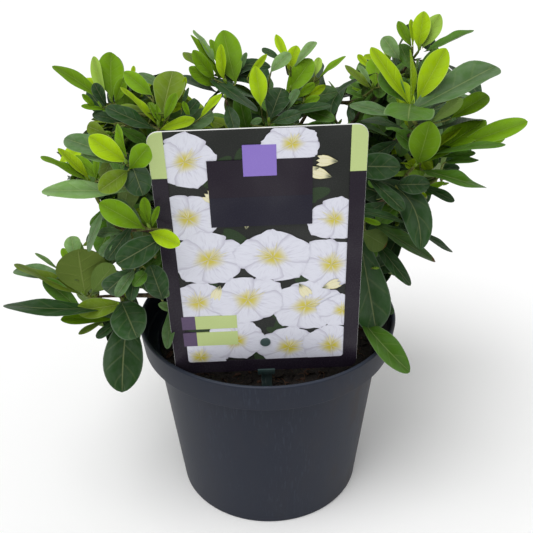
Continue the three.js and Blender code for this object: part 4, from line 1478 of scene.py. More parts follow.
def filling_leaf(rng, filler, base, target, along, thickness):
    """A leaf on a twig that covers a place where the crown has none."""
    length = np.clip(np.linalg.norm(target - base) * rng.uniform(filler.reach, 2.0), *FILLER_LENGTHS)
    up = unit(np.array([0, -filler.forward, 0.8]) + rng.normal(0, filler.wander, 3))
    kind = filler.kinds[0] if len(filler.kinds) == 1 or rng.random() < 0.5 else filler.kinds[1]
    tone = dealt(rng, SPRAYS[kind])
    return shaped_leaf(rng, tone, base + along * 0.8, along, square_to(up, along), length,
                       length * rng.uniform(*filler.broad), filler.age, nearest_mass(base), thickness)


def covering_leaves(rng, thickness, wood, screen):
    """Leaves on the twigs further back, wherever they show between the leaves in front of them."""
    view, leaves = screen.view, []
    places = np.stack(view.pixel(wood.points)[:2], -1)
    for attempt in range(COVER_TRIES):
        if attempt % 200 == 0:
            gaps = screen.gaps()
        if not len(gaps):
            break
        spot = gaps[rng.integers(len(gaps))]
        if np.isfinite(screen.near[spot[1], spot[0]]):
            continue
        choice = np.nonzero(within_reach(places, spot))[0]
        if not len(choice):
            continue
        base = wood.points[rng.choice(choice)]
        target = view.at_depth(spot, view.depth(base) + rng.normal(0, 5))
        leaf = filling_leaf(rng, COVER, base, target, unit(target - base), thickness)
        if leaf_fits(leaf, screen):
            leaves.append(leaf)
            screen.draw(leaf_points([leaf])[0])
    return leaves


def shading_leaves(rng, thickness, wood, screen):
    """Leaves on the nearer twigs, wherever a bough shows in the full parts of the crown."""
    view, leaves = screen.view, []
    across, down, depths = view.pixel(wood.points)
    places = np.stack([across, down], -1)
    for path in limb_paths().values():
        for point in path[::2]:
            x, y, depth = (value[0] for value in screen.spots(point[None]))
            x, y = np.clip((x, y), 0, PICTURE - 1)
            if not screen.filled[y, x] or not screen.seen(point[None]):
                continue
            choice = np.nonzero(within_reach(places, (x, y)) & (depths < depth + 3))[0]
            for _ in range(SHADE_TRIES if len(choice) else 0):
                base = wood.points[rng.choice(choice)]
                along = unit(point + view.back * rng.uniform(5, 10) - base)
                leaf = filling_leaf(rng, SHADE, base, point, along, thickness)
                if leaf_fits(leaf, screen):
                    leaves.append(leaf)
                    screen.draw(leaf_points([leaf])[0])
                    break
    return leaves


def card_face_points():
    x, y = np.meshgrid(np.linspace(-0.5, 0.5, 180) * CARD.width, np.linspace(0, 1, 260) * CARD.height)
    return on_card(np.stack([x, y, 0 * x], -1).reshape(-1, 3))


def pot_face_points():
    turn, share = np.meshgrid(np.linspace(0, 2 * np.pi, 480), np.linspace(0, 1, 110))
    height = share * POT.height
    away = np.where(height > POT.height - POT.collar_depth, POT.rim,
                    mix(POT.foot, POT.wall_top, share))
    wall = np.stack([away * np.cos(turn), away * np.sin(turn), height], -1).reshape(-1, 3)
    bed = np.stack([share * BED_RADIUS * np.cos(turn), share * BED_RADIUS * np.sin(turn),
                    COMPOST_LEVEL + 0 * turn], -1).reshape(-1, 3)
    return np.vstack([wall, bed])


# For each tone: its roughness, how much lighter its blade gets in places, how far its tip has dried, and
# its sheen
LEAF_SKINS = {
    "bright": (0.55, 0.01, 0.0, 0.05), "fresh": (0.52, 0.01, 0.0, 0.06), "pale": (0.55, 0.02, 0.0, 0.06),
    "mid": (0.44, 0.02, 0.0, 0.12), "olive": (0.50, 0.02, 0.0, 0.08), "grey": (0.46, 0.04, 0.0, 0.14),
    "silver": (0.52, 0.05, 0.0, 0.12), "dark": (0.40, 0.02, 0.0, 0.12), "worn": (0.44, 0.02, 0.06, 0.12),
}
LEAVES_A_PIECE = 450
YOUNG = ("bright", "fresh", "pale")


def leaf_material(tone, settings):
    base = getattr(settings, tone)
    gloss, lift, dry, sheen = LEAF_SKINS[tone]
    young = tone in YOUNG
    vein = lighter(base, 0.12 if young else 0.22)
    under = base if young else mix(np.array(settings.under), np.array(base), 0.35)
    return surfaced("leaf_" + tone, build_leaf_group, "Leaf surface", {
        "Blade": base, "Blade light": lighter(base, lift), "Vein": (vein[0], vein[1], vein[2] * 0.5),
        "Margin": lighter((base[0] * 1.4, base[1] * 1.3, base[2]), 0.12), "Underside": lighter(under, 0.02),
        "Brown": settings.brown, "Dry": dry, "Gloss": gloss, "Veins": float(VEIN_PAIRS),
    }, 0.5, 0.4, sheen, uv=True)


def leaf_piece(tone, number, leaves, material):
    """Leaves of one tone as one piece, with a crisp rim on each."""
    skin = Skin()
    for leaf, points in zip(leaves, leaf_points(leaves)):
        skin.add(points, GRID.faces, GRID.uvs(leaf["variant"]))
    slot = "leaf_young" if tone in YOUNG else "leaf_mature"
    replaced = sorted({"foliage_" + leaf["mass"] for leaf in leaves})
    mesh = skin.piece("leaves_%s_%d" % (tone, number), [material], slot, replaced).data
    edges = np.zeros(len(mesh.edges) * 2, np.int64)
    mesh.edges.foreach_get("vertices", edges)
    pairs = np.sort(edges.reshape(-1, 2) % GRID.size, axis=1)
    rim = np.isin(pairs[:, 0] * GRID.size + pairs[:, 1], GRID.rim)
    mesh.attributes.new("sharp_edge", "BOOLEAN", "EDGE").data.foreach_set("value", rim)


class AZALEA_OT_foliage(Operator):
    """Makes the twigs, the buds and the leaves of every mass of foliage"""

    bl_idname = "azalea.foliage"
    bl_label = "Leaves and twigs"

    def execute(self, context):
        azalea = context.scene.azalea
        settings, limbs = azalea.foliage, azalea.limbs
        rng = np.random.default_rng(settings.seed)
        screen = Screen(View(azalea.studio))
        screen.draw(card_face_points())
        screen.draw(pot_face_points())
        wood = Wood()
        skins = {"twigs_brown": Skin(), "twigs_green": Skin(), "buds": Skin()}
        for name, path in limb_paths().items():
            radii = np.linspace(*LIMBS[name].radii, LIMB_POINTS)
            wood.add(path[BARE_POINTS:], radii[BARE_POINTS:])
            add_bud(rng, skins["buds"], path[-1], unit(path[-1] - path[-2]))
        leaves = self.shown(rng, settings, screen, wood, skins)
        taken = [screen.view.at_y(shoot.heart, shoot.y) for shoot in SHOOTS]
        for mass, heart, axis in seeded_hearts(rng, settings.spacing / MM, taken):
            kept = seeded_leaves(rng, settings, mass, heart, axis, screen)
            if len(kept) >= FEWEST_LEAVES:
                grow_twig(rng, screen, wood, skins, heart, axis)
                leaves += kept
                screen.draw(leaf_points(kept).reshape(-1, 3))
        for more in (shading_leaves, covering_leaves):
            leaves += more(rng, settings.thickness / MM, wood, screen)
        bare = set(LIMBS) - {leaf["mass"] for leaf in leaves}
        if bare:
            raise RuntimeError("no leaf grew on " + ", ".join(sorted(bare)))
        for tone in LEAF_SKINS:
            alike = [leaf for leaf in leaves if leaf["tone"] == tone]
            material = leaf_material(tone, settings)
            for first in range(0, len(alike), LEAVES_A_PIECE):
                leaf_piece(tone, first // LEAVES_A_PIECE + 1, alike[first:first + LEAVES_A_PIECE], material)
        for name, paint, ink, shade, scale, roughness, slot in (
                ("twigs_brown", "twig_brown", limbs.twig, 0.5, 420, 0.85, "bark"),
                ("twigs_green", "twig_green", limbs.shoot, 0.35, 420, 0.85, "leaf_young"),
                ("buds", "bud_scales", limbs.bud, 0.3, 500, 0.55, "leaf_young")):
            skins[name].piece(name, [bark_material(paint, ink, darker(ink, shade), scale, roughness)], slot)
        return {"FINISHED"}

    def shown(self, rng, settings, screen, wood, skins):
        """The leaves that the photograph shows, each kept in front of or behind the others as it has them."""
        leaves = [read_leaf(rng, screen.view, shoot, dealt(rng, SPRAYS[kind]), row, settings.thickness / MM)
                  for shoot in SHOOTS for kind, rows in shoot.sprays.items() for row in rows]
        screen.draw(leaf_points([leaf for leaf in leaves if not leaf["loose"]], FINE_GRID).reshape(-1, 3))
        for leaf in leaves:
            if leaf["loose"]:
                tuck(screen, leaf)
                screen.draw(leaf_points([leaf], FINE_GRID)[0])
        screen.settle()
        for shoot in SHOOTS:
            heart = screen.view.at_y(shoot.heart, shoot.y)
            grow_twig(rng, screen, wood, skins, heart, shoot_axis(shoot.lean))
        for leaf in leaves:
            if leaf["footless"]:
                grow_spur(screen, wood, skins["twigs_green"], leaf)
        return leaves


class AZALEA_OT_limbs(Operator):
    """Makes the trunk and the boughs with their bark"""

    bl_idname = "azalea.limbs"
    bl_label = "Trunk and boughs"

    def execute(self, context):
        limbs = context.scene.azalea.limbs
        rng = np.random.default_rng(context.scene.azalea.foliage.seed + 1)
        bark = bark_material("bark", limbs.light, limbs.dark, 260)
        trunk, boughs = Skin(), Skin()
        trunk.add(*trunk_shape(rng, limbs.relief))
        trunk.piece("trunk_bark", [bark], "bark", ["trunk"])
        for name, path in limb_paths().items():
            length = lengths_along(path)[-1]
            share = np.linspace(0, 1, max(30, int(length / 1.6)))
            radii = np.interp(share, (0, 0.6, 1), (*LIMBS[name].radii, TWIG_TIP))
            radii = radii * (1 + 0.45 * np.exp(-share * length / 6))
            relief = bark_relief(rng, share * length, BOUGH_SIDES, 2, limbs.relief)
            boughs.add(*tube(along_path(path, share), radii, BOUGH_SIDES, relief))
        boughs.piece("boughs_bark", [bark], "bark", ["bough_" + name for name in LIMBS])
        return {"FINISHED"}


def trunk_shape(rng, depth):
    """The short trunk: flared at its foot, swollen where the boughs leave it, and ridged with bark."""
    segments, rows = 72, 46
    share = np.linspace(0, 1, rows)
    radii = (TRUNK_RADII.neck + (TRUNK_RADII.foot - TRUNK_RADII.neck) * np.exp(-share / FLARE_SHARE)
             + (TRUNK_RADII.top - TRUNK_RADII.neck) * smooth(share, 0.5, 1))
    heights = share * TRUNK_HEIGHT
    over = np.linspace(0, 1, 8)[1:-1]
    radii = np.concatenate([radii, TRUNK_RADII.top * np.cos(over * np.pi / 2)])
    heights = np.concatenate([heights, TRUNK_HEIGHT + TRUNK_CROWN * np.sin(over * np.pi / 2)])
    profile = [(0, 0), *zip(radii, heights), (0, TRUNK_HEIGHT + TRUNK_CROWN)]
    points, faces = turned(profile, segments)
    angle = np.arctan2(points[:, 1], points[:, 0])
    relief = bark_relief(rng, heights, segments, 4, depth)
    points[:-2, :2] *= (1 + relief.ravel() + 0.06 * np.sin(3 * angle[:-2]))[:, None]
    rise = points[:, 2:3] / TRUNK_HEIGHT
    points[:, :2] += TRUNK_LEAN * rise
    return points + TRUNK_FOOT, faces


# Pot

FLOOR_JOIN = 55.0
LIP_ROUND = 1.3
COLLAR_ROUND = 0.7
POT_SEGMENTS = 192


def crisp(piece, degrees=32):
    """Smooth shading that still shows the edges sharper than an angle."""
    piece.data.set_sharp_from_angle(angle=math.radians(degrees))


def inner_radius(height):
    share = (height - POT.wall) / (POT.height - POT.collar_depth - POT.wall)
    return mix(POT.foot, POT.wall_top, share) - POT.wall


def pot_profile():
    """Radius and height round the pot's wall, from its underside, over the rim, to its floor."""
    under = POT.height - POT.collar_depth
    shelf = under + POT.wall
    top = POT.height - LIP_ROUND
    return [
        (FLOOR_JOIN, 0.0),
        *arc((POT.foot - POT.foot_round, POT.foot_round), POT.foot_round, -90, 0),
        (POT.wall_top, under - 0.5), (POT.wall_top + 0.5, under),
        *arc((POT.collar - COLLAR_ROUND, under + COLLAR_ROUND), COLLAR_ROUND, -90, 0),
        *arc((POT.rim - LIP_ROUND, top), LIP_ROUND, -6, 186, 14),
        (POT.collar - POT.wall, shelf + 0.8), (POT.collar - POT.wall - 0.8, shelf),
        (inner_radius(shelf) + 0.6, shelf), (inner_radius(shelf), shelf - 0.6),
        (inner_radius(POT.wall), POT.wall + 1.5), (inner_radius(POT.wall) - 1.5, POT.wall),
        (FLOOR_JOIN, POT.wall),
    ]


def circle(x, y, radius, steps=40, hole=False):
    turn = np.linspace(0, 2 * np.pi, steps, endpoint=False) * (-1 if hole else 1)
    return [(x + radius * math.cos(a), y + radius * math.sin(a)) for a in turn]


def rounded(left, bottom, right, top, radius, steps=8):
    """The outline of a rectangle with round corners, anticlockwise."""
    if radius <= 0:
        return [(left, bottom), (right, bottom), (right, top), (left, top)]
    return [*arc((right - radius, bottom + radius), radius, -90, 0, steps),
            *arc((right - radius, top - radius), radius, 0, 90, steps),
            *arc((left + radius, top - radius), radius, 90, 180, steps),
            *arc((left + radius, bottom + radius), radius, 180, 270, steps)]


def stack(levels):
    """A closed plate from rising levels. A level is a list of loops, the outline and then the clockwise
    holes, and its height."""
    points, faces, rows = [], [], []
    for loops, height in levels:
        rows.append([])
        for loop in loops:
            rows[-1].append((len(points), len(loop)))
            points += [(x, y, height) for x, y in loop]
    for below, above in zip(rows, rows[1:]):
        for (a, count), (b, _) in zip(below, above):
            faces += [(a + i, a + (i + 1) % count, b + (i + 1) % count, b + i) for i in range(count)]
    for (loops, _), row, way in ((levels[0], rows[0], -1), (levels[-1], rows[-1], 1)):
        flat = [spot for loop in loops for spot in loop]
        for a, b, c in tessellate_polygon([[Vector((x, y, 0)) for x, y in loop] for loop in loops]):
            (ax, ay), (bx, by), (cx, cy) = flat[a], flat[b], flat[c]
            area = (bx - ax) * (cy - ay) - (cx - ax) * (by - ay)
            face = (a, b, c) if area * way > 0 else (c, b, a)
            faces.append(tuple(i + row[0][0] for i in face))
    return points, faces


class AZALEA_OT_pot(Operator):
    """Makes the nursery pot with its rolled rim, deep collar and drain holes"""

    bl_idname = "azalea.pot"
    bl_label = "Pot"

    def execute(self, context):
        pot = context.scene.azalea.pot
        skin, profile = Skin(), pot_profile()
        skin.add(turned_rings(profile, POT_SEGMENTS), ring_faces(len(profile), POT_SEGMENTS, closed=True))
        turns = np.linspace(0, 2 * np.pi, POT.drain_holes, endpoint=False)
        holes = [circle(POT.drain_ring * math.cos(a), POT.drain_ring * math.sin(a), POT.drain_hole,
                        24, True) for a in turns]
        plate = [circle(0, 0, FLOOR_JOIN, POT_SEGMENTS), *holes]
        skin.add(*stack([(plate, 0.0), (plate, POT.wall)]))
        # The top millimetre of the rim gets a painted highlight in the scuff colour
        plastic = wear_material("pot_plastic", pot.plastic, pot.scuff, pot.dust, scuffs=0.5, dusty=0.45,
                                roughness=pot.roughness, dust_from=20 * MM, lip_from=(POT.height - 1) * MM)
        crisp(skin.piece("pot_body", [plastic], "pot_plastic", ["pot"]))
        return {"FINISHED"}


# Compost


def compost_level(x, y):
    """Height of the compost: flat round the trunk, and uneven further out."""
    swell = np.sin(x / 9.5) * np.cos(y / 7.8) + 0.6 * np.sin((x + 2 * y) / 13)
    return COMPOST_LEVEL + smooth(np.hypot(x, y), COMPOST_FLAT, 2 * COMPOST_FLAT) * COMPOST_WAVE * swell


BED_RADIUS = inner_radius(COMPOST_EDGE) - GAP


def compost_bed(rng):
    """The bed of compost, with a lumpy surface and a body that fills the pot."""
    segments, rows = 260, 90
    share = np.linspace(0, 1, rows)[1:]
    top = [(BED_RADIUS * s, 0) for s in share][::-1]
    side = [(inner_radius(POT.wall) - GAP, POT.wall + GAP), (BED_RADIUS, COMPOST_EDGE)]
    points, faces = turned([(0, POT.wall + GAP), *side, *top, (0, 0)], segments)
    first = len(side) * segments
    upper = np.r_[first:len(points) - 2, len(points) - 1]
    x, y = points[upper, 0], points[upper, 1]
    lumps = np.zeros(len(upper))
    for width, height in ((9, 0.5), (4.5, 0.45), (2.2, 0.35), (1.2, 0.22)):
        for _ in range(5):
            turn = rng.uniform(0, 2 * np.pi)
            lumps += height * np.sin((x * math.cos(turn) + y * math.sin(turn)) / width * 2.2
                                     + rng.uniform(0, 6.3)) / 2.4
    rim = smooth(np.hypot(x, y), BED_RADIUS, BED_RADIUS - 3)
    points[upper, 2] = compost_level(x, y) + np.clip(lumps, -1.2, 1.4) * rim
    return points, faces


def lump(rng, base, spot, spans):
    """An irregular chip or crumb: a ball that is stretched, turned and dented."""
    points = base * (1 + rng.normal(0, 0.13, (len(base), 1))) * spans
    turn = Matrix.Rotation(rng.uniform(0, 6.28), 3, "Z")
    for axis in "XY":
        turn = turn @ Matrix.Rotation(rng.normal(0, 0.35), 3, axis)
    return points @ np.array(turn).T + spot


def ball():
    mesh = bmesh.new()
    bmesh.ops.create_icosphere(mesh, subdivisions=2, radius=1.0)
    points = np.array([vertex.co for vertex in mesh.verts])
    faces = [tuple(vertex.index for vertex in face.verts) for face in mesh.faces]
    mesh.free()
    return points, faces


class AZALEA_OT_compost(Operator):
    """Makes the compost with its crumbs, bark chips and fibres"""

    bl_idname = "azalea.compost"
    bl_label = "Compost"

    def execute(self, context):
        compost = context.scene.azalea.compost
        rng = np.random.default_rng(context.scene.azalea.foliage.seed + 2)
        peat = bark_material("compost_peat", compost.crumb, compost.peat, 330)
        crumb, bark, fibre = (bark_material("compost_" + name, light, darker(light, 0.55), scale)
                              for name, light, scale in (("crumb", compost.crumb, 500),
                                                         ("bark", compost.bark, 400),
                                                         ("fibre", compost.fibre, 600)))
        bed, chips, fibres = Skin(), Skin(), Skin()
        bed.add(*compost_bed(rng))
        bed.piece("compost_bed", [peat], "compost", ["compost"])
        self.scatter_chips(rng, compost.chips, chips)
        chips.piece("compost_chips", [crumb, bark], "compost", flat=True)
        self.scatter_fibres(rng, compost.fibres, fibres)
        fibres.piece("compost_fibres", [fibre], "compost")
        return {"FINISHED"}

    def scatter_chips(self, rng, count, skin):
        base, faces = ball()
        for _ in range(count):
            away, turn = BED_RADIUS * 0.965 * math.sqrt(rng.uniform(0.03, 1)), rng.uniform(0, 2 * np.pi)
            x, y = away * math.cos(turn), away * math.sin(turn)
            long = rng.uniform(0.8, 2.6) * (1.5 if rng.random() < 0.12 else 1)
            spans = np.array([long, long * rng.uniform(0.35, 0.8), long * rng.uniform(0.25, 0.5)])
            furthest = BED_RADIUS - long - 0.3
            if away > furthest:
                x, y = x * furthest / away, y * furthest / away
            spot = np.array([x, y, compost_level(x, y) + 0.4 * spans[2] + 0.2])
            skin.add(lump(rng, base, spot, spans), faces, mark=int(rng.random() < 0.28))

    def scatter_fibres(self, rng, count, skin):
        steps = np.arange(9)
        for _ in range(count):
            away, turn = BED_RADIUS * 0.9 * math.sqrt(rng.random()), rng.uniform(0, 2 * np.pi)
            heading = rng.uniform(0, 2 * np.pi)
            way = heading + rng.normal(0, 0.22) * steps
            x = away * math.cos(turn) + np.cumsum(np.cos(way)) * 0.9
            y = away * math.sin(turn) + np.cumsum(np.sin(way)) * 0.9
            if np.hypot(x, y).max() > BED_RADIUS - 1:
                continue
            z = compost_level(x, y) + 0.9 + 0.5 * np.sin(steps / 2 + turn)
            skin.add(*tube(np.stack([x, y, z], -1), np.full(9, rng.uniform(0.12, 0.26)), 5))


# Label

FACE = CARD.thickness / 2
WHITE_EDGE = 0.2
LAYER = 0.03
BORDER_LEFT = 8.2
BORDER_RIGHT = 8.5
BORDER_BOTTOM = 9.0
TAB_FOOT = 137.0
PANEL_SPLIT = 124.1
TITLE = (-26.2, 106.0, 27.2, 145.8)
PATCH = (-8.0, 136.4, 9.0, 154.0)
STRIPS = ((35.2, 44.8), (22.3, 32.6))
STRIP_ENDS = (-40.0, -16.0)
SQUARE_LEFT = -47.9

# The picture's blossoms: where each sits on the card, how wide it is, and how it is turned and foreshortened
BLOSSOMS = (
    (-37, 146, 34, 10, 0.9), (-38, 112, 38, 60, 0.8), (17, 154, 30, 35, 0.75),
    (39, 108, 33, 80, 0.85), (-29, 85, 41, 20, 0.85), (6, 85, 42, 95, 0.85),
    (38, 78, 40, 50, 0.9), (-37, 55, 37, 75, 0.85), (-9, 56, 41, 40, 0.9),
    (24, 49, 43, 5, 0.85), (45, 45, 33, 30, 0.8), (-17, 25, 38, 65, 0.85),
    (14, 18, 41, 15, 0.8), (39, 18, 38, 85, 0.9), (-39, 13, 34, 45, 0.8),
)

# Its buds: where each sits on the card, and the way that it points
BUDS = ((31, 140, 200), (37, 134, 160), (27, 131, 230), (40, 143, 175), (-8, 104, 80), (20, 66, 300),
        (-24, 67, 250), (-20, 120, 140), (33, 62, 20))
PRINTED_LEAVES = 46
PETALS = 5
STAMENS = 6


def within_card(points):
    """Keeps printed shapes inside the white edge at the top and at the sides."""
    half = CARD.width / 2 - WHITE_EDGE - 0.6
    points[:, 0] = np.clip(points[:, 0], -half, half)
    points[:, 1] = np.clip(points[:, 1], WHITE_EDGE + 0.6, CARD.height - WHITE_EDGE)
    return points


def add_plate(skin, levels, mark=0):
    """Adds a plate that lies on the card, or near it, from its levels."""
    points, faces = stack(levels)
    skin.add(on_card(points), faces, mark=mark)


def add_petal(skin, centre, turn, length, width, level, squash=1, ruffle=0, variant=0, mark=0):
    """Adds a flat printed petal: narrow at the throat, broad and ruffled at its end."""
    share, across = PETAL_GRID.share, PETAL_GRID.across
    outline = np.sin(np.pi / 2 * np.minimum(1.15 * share, 1)) ** 0.9 * np.sqrt(1 - share**6)
    wave = 1 + 0.05 * np.sin(ruffle + 15 * share) * smooth(share, 0.4, 0.6)
    x = length * (share + 0.03 * np.sin(9 * across + ruffle) * share**3) * (1 - 0.12 * across**2 * share)
    y = 0.5 * width * outline * across * wave
    z = level + 0.01 * PETAL_GRID.side * (1 - across**2)
    out = np.array([math.cos(turn), math.sin(turn)])
    spot = x[:, None] * out + y[:, None] * np.array([-out[1], out[0]])
    spot[:, 1] *= squash
    points = within_card(np.column_stack([spot + centre, z]))
    skin.add(on_card(points), PETAL_GRID.faces, PETAL_GRID.uvs(variant), mark)


def build_petal_group(name):
    """A petal from its UV map: a stained throat, a white blade and faint shaded veins."""
    tree, given = new_group(name, "UV", ("Petal", "Shade", "Throat"), ("Roughness",))
    cell, along, across, _ = tree.on_blade(given["UV"])
    out = tree.math("ABSOLUTE", across)
    place = tree.node("ShaderNodeCombineXYZ", {
        "X": tree.line(cell, 5.1, along), "Y": tree.times(across, 3.0)}).outputs[0]
    veins = tree.ramp(tree.noise(place, 3.2), 0.45, 0.75)
    stain = tree.times(tree.ramp(along, 0.10, 0.42, 1.0, 0.0), tree.ramp(out, 0.35, 1.0, 1.0, 0.35))
    ends = tree.math("MAXIMUM", tree.ramp(out, 0.72, 1.0, 0.0, 0.55), tree.ramp(along, 0.9, 1.0, 0.0, 0.4))
    shaded = tree.math("MAXIMUM", tree.times(veins, tree.ramp(along, 0.1, 0.75, 0.85, 0.25)), ends)
    blade = tree.blend(shaded, given["Petal"], given["Shade"])
    rough = tree.line(veins, 0.02, given["Roughness"])
    return tree.surface(tree.blend(stain, blade, given["Throat"]), rough, veins)


def petal_material(name, petal, shade, throat):
    return surfaced(name, build_petal_group, "Petal", {
        "Petal": petal, "Shade": shade, "Throat": throat, "Roughness": PRINT_ROUGHNESS}, 0.02, 0.01, uv=True)


class AZALEA_OT_label(Operator):
    """Makes the picture label: its card, its print and its stake"""

    bl_idname = "azalea.label"
    bl_label = "Label"

    def execute(self, context):
        label = context.scene.azalea.label
        rng = np.random.default_rng(context.scene.azalea.foliage.seed + 3)
        self.plate(label)
        self.prints(label, rng)
        self.blossoms(label, rng)
        self.stake(label)
        return {"FINISHED"}

    def plate(self, label):
        half, bevel = CARD.width / 2, 0.1

        def loops(inset):
            return [rounded(inset - half, inset, half - inset, CARD.height - inset, CARD.corner - inset),
                    circle(0, CARD.hole_height, CARD.hole + inset, hole=True)]

        skin = Skin()
        add_plate(skin, [(loops(bevel), -FACE), (loops(0), bevel - FACE), (loops(0), FACE - bevel),
                         (loops(bevel), FACE)])
        sheet = print_material("card_sheet", label.sheet, 0.1)
        skin.piece("label_plate", [sheet], "card_print", ["label_card"], flat=True)

    def prints(self, label, rng):
        """The printed areas, each a thin plate that stands a little higher than what it covers."""
        half, top = CARD.width / 2 - WHITE_EDGE, CARD.height - WHITE_EDGE
        hole = circle(0, CARD.hole_height, CARD.hole + 0.3, hole=True)
        radius = CARD.corner - WHITE_EDGE
        left, right = BORDER_LEFT - CARD.width / 2, CARD.width / 2 - BORDER_RIGHT
        inks = ("ground", "leaf", "border", "panel", "tab", "patch", "square")
        skin = Skin()

        def layer(loops, ink, level):
            add_plate(skin, [(loops, 0.0), (loops, FACE + LAYER * level)], inks.index(ink))

        layer([rounded(-half, WHITE_EDGE, half, top, radius), hole], "ground", 1)
        for _ in range(PRINTED_LEAVES):
            self.printed_leaf(rng, skin, inks.index("leaf"))
        window = [*arc((left + 2, BORDER_BOTTOM + 2), 2, 180, 270),
                  *arc((right - 2, BORDER_BOTTOM + 2), 2, -90, 0)]
        bars = [(-half, TAB_FOOT), *arc((radius - half, WHITE_EDGE + radius), radius, 180, 270, 8),
                *arc((half - radius, WHITE_EDGE + radius), radius, -90, 0, 8), (half, TAB_FOOT),
                (right, TAB_FOOT), *window[::-1], (left, TAB_FOOT)]
        layer([bars], "border", 22)
        layer([[(-half, TAB_FOOT), (left, TAB_FOOT), (left, top),
                *arc((radius - half, top - radius), radius, 90, 180, 8)]], "tab", 22)
        layer([[(right, TAB_FOOT), (half, TAB_FOOT), *arc((half - radius, top - radius), radius, 0, 90, 8),
                (right, top)]], "tab", 22)
        title_left, title_bottom, title_right, title_top = TITLE
        boxes = [(TITLE, "border", 22), ((title_left, title_bottom, title_right, PANEL_SPLIT), "panel", 23),
                 (PATCH, "patch", 24)]
        for low, high in STRIPS:
            boxes.append(((STRIP_ENDS[0], low, STRIP_ENDS[1], high), "tab", 24))
            boxes.append(((SQUARE_LEFT, low, STRIP_ENDS[0], high), "square", 24))
        for box, ink, level in boxes:
            layer([rounded(*box, 0)], ink, level)
        materials = [print_material("print_" + ink, getattr(label, ink)) for ink in inks]
        skin.piece("label_print", materials, "card_print", ["label_card"], flat=True)

    def printed_leaf(self, rng, skin, mark):
        x, y = rng.uniform(-44, 43), rng.uniform(10, 150)
        turn, length = rng.uniform(0, 2 * np.pi), rng.uniform(12, 24)
        share = np.linspace(0, np.pi, 10)
        spine = length * (1 - np.cos(share)) / 2
        half = 0.2 * length * np.sin(share)
        outline = [*zip(spine, -half), *zip(spine[-2:0:-1], half[-2:0:-1])]
        spots = [(x + a * math.cos(turn) - b * math.sin(turn), y + a * math.sin(turn) + b * math.cos(turn))
                 for a, b in outline]
        level = FACE + LAYER * (2 + 2 * rng.random())
        points, faces = stack([([spots], 0.2), ([spots], level)])
        skin.add(on_card(within_card(np.array(points))), faces, mark=mark)

    def blossoms(self, label, rng):
        skin = Skin()
        for k, (x, y, width, angle, squash) in enumerate(BLOSSOMS):
            centre, floor = np.array([x, y]), 5 * (k % 3)
            for petal in range(PETALS):
                turn = math.radians(angle + 72 * petal) + rng.normal(0, 0.09)
                length = width / 2 * rng.uniform(0.93, 1.1)
                level = FACE + LAYER * (5 + floor + (petal * 2) % PETALS)
                add_petal(skin, centre, turn, length, 1.22 * length, level, squash, rng.uniform(0, 6.28),
                          petal % SKIN_VARIANTS)
            for _ in range(STAMENS):
                turn = math.radians(angle + 36) + rng.normal(0, 0.5)
                add_petal(skin, centre, turn, width * rng.uniform(0.2, 0.3), 0.5,
                          FACE + LAYER * (10.3 + floor), squash, mark=2)
        for x, y, turn in BUDS:
            for side in (-1, 0, 1):
                add_petal(skin, np.array([x, y]), math.radians(turn + 13 * side), 11, 3.6,
                          FACE + LAYER * (20 - abs(side)), mark=1)
        inks = [petal_material("print_petal", label.petal, label.shade, label.throat),
                petal_material("print_bud", lighter(label.throat, 0.5), label.throat, label.leaf),
                print_material("print_stamen", lighter(label.throat, 0.35))]
        skin.piece("label_blossoms", inks, "card_print", ["label_card"], flat=True)

    def stake(self, label):
        """The stake behind the card, the peg through it, and the lip under its lower edge."""
        back, front = -FACE - GAP, FACE + GAP
        skin = Skin()

        def block(left, bottom, right, top, low, high, bevel=0.25):
            full = [rounded(left, bottom, right, top, 0.6, 4)]
            small = [rounded(left + bevel, bottom + bevel, right - bevel, top - bevel, 0.4, 4)]
            add_plate(skin, [(small, low), (full, low + bevel), (full, high - bevel), (small, high)])

        half, hook = STAKE.width / 2, HOOK.width / 2
        block(-half, -STAKE.below, half, STAKE.above, back - STAKE.thickness, back)
        block(-hook, -GAP - HOOK.shelf, hook, -GAP, back - STAKE.thickness / 2, front + HOOK.thickness)
        block(-hook, -GAP - HOOK.shelf, hook, HOOK.height - GAP, front, front + HOOK.thickness)
        top = front + STAKE.peg_head
        full, small = ([circle(0, CARD.hole_height, STAKE.peg - inset)] for inset in (0, 0.35))
        add_plate(skin, [(full, back - STAKE.thickness / 2), (full, top - 0.35), (small, top)])
        plastic = wear_material("stake_plastic", label.stake, lighter(label.stake, 0.2),
                                lighter(label.stake, 0.25), scuffs=0.3, dusty=0.1, roughness=0.35)
        crisp(skin.piece("label_stake", [plastic], "stick_plastic", ["label_stick"]), degrees=20)


# Stage

FLOOR_REACH = 6.0
KEY_WAY = (0.3, 0.42, -1.1)


def soft_sun(name, strength, softness, way):
    """Light from one wide direction, the way that it shines given as a vector."""
    light = bpy.data.lights.new(name, "SUN")
    light.energy = strength
    light.angle = softness
    lamp = bpy.data.objects.new(name, light)
    lamp.rotation_euler = Vector(way).to_track_quat("-Z", "Y").to_euler()
    return lamp


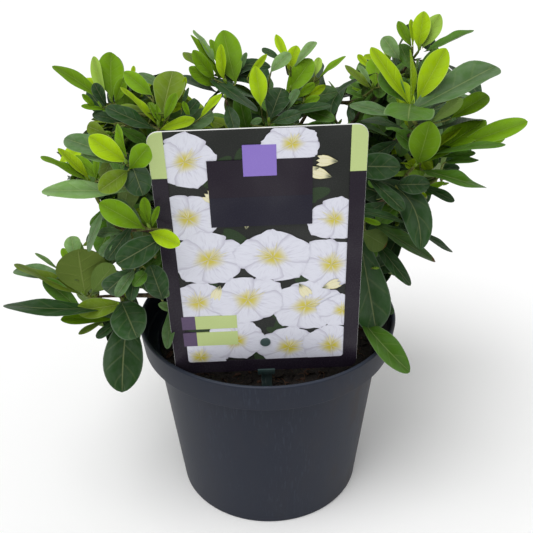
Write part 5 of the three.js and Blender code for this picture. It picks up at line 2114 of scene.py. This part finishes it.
class AZALEA_OT_studio(Operator):
    """Sets up the camera, the pale floor and the soft studio light"""

    bl_idname = "azalea.studio"
    bl_label = "Studio"

    def execute(self, context):
        scene = context.scene
        studio = scene.azalea.studio
        view = View(studio)
        camera = bpy.data.objects.new("camera", bpy.data.cameras.new("camera"))
        camera.data.lens = studio.lens
        camera.data.sensor_width = SENSOR
        camera.data.clip_start = 0.01
        axes = np.eye(4)
        axes[:3, :3] = np.column_stack([view.right, view.up, view.back])
        axes[:3, 3] = view.eye * MM
        camera.matrix_world = Matrix(axes)
        floor_mesh = bpy.data.meshes.new("floor")
        corners = [(x * FLOOR_REACH, y * FLOOR_REACH, 0) for x, y in ((-1, -1), (1, -1), (1, 1), (-1, 1))]
        floor_mesh.from_pydata(corners, [], [(0, 1, 2, 3)])
        floor = bpy.data.objects.new("floor", floor_mesh)
        paint = bpy.data.materials.new("floor")
        paint.use_nodes = True
        shader = paint.node_tree.nodes["Principled BSDF"]
        shader.inputs["Base Color"].default_value = (*studio.floor, 1)
        shader.inputs["Roughness"].default_value = 0.9
        floor_mesh.materials.append(paint)
        key = soft_sun("key", studio.key, studio.softness, KEY_WAY)
        for thing in (camera, floor, key):
            scene.collection.objects.link(thing)
        scene.camera = camera
        world = bpy.data.worlds.new("sky")
        world.use_nodes = True
        sky = world.node_tree.nodes["Background"]
        sky.inputs["Color"].default_value = (1, 1, 1, 1)
        sky.inputs["Strength"].default_value = studio.sky
        scene.world = world
        scene.view_settings.view_transform = "Standard"
        return {"FINISHED"}


# Add-on


OPERATORS = (AZALEA_OT_studio, AZALEA_OT_pot, AZALEA_OT_compost, AZALEA_OT_limbs, AZALEA_OT_foliage,
             AZALEA_OT_label)


class AZALEA_PT_build(Panel):
    """Lists the pieces and the values that shape them"""

    bl_idname = "AZALEA_PT_build"
    bl_label = "Potted azalea"
    bl_space_type = "VIEW_3D"
    bl_region_type = "UI"
    bl_category = "Azalea"

    def draw(self, context):
        for operator in OPERATORS:
            self.layout.operator(operator.bl_idname)
        for part in AzaleaSettings.__annotations__:
            box = self.layout.box()
            box.label(text=part.capitalize())
            values = getattr(context.scene.azalea, part)
            for value in type(values).__annotations__:
                box.prop(values, value)


CLASSES = (StudioSettings, FoliageSettings, LimbSettings, PotSettings, CompostSettings, LabelSettings,
           AzaleaSettings, *OPERATORS, AZALEA_PT_build)


def register():
    for kind in CLASSES:
        bpy.utils.register_class(kind)
    bpy.types.Scene.azalea = PointerProperty(type=AzaleaSettings)


def unregister():
    del bpy.types.Scene.azalea
    for kind in reversed(CLASSES):
        bpy.utils.unregister_class(kind)


def main():
    register()
    for operator in OPERATORS:
        group, name = operator.bl_idname.split(".")
        getattr(getattr(bpy.ops, group), name)()


if __name__ == "__main__":
    main()
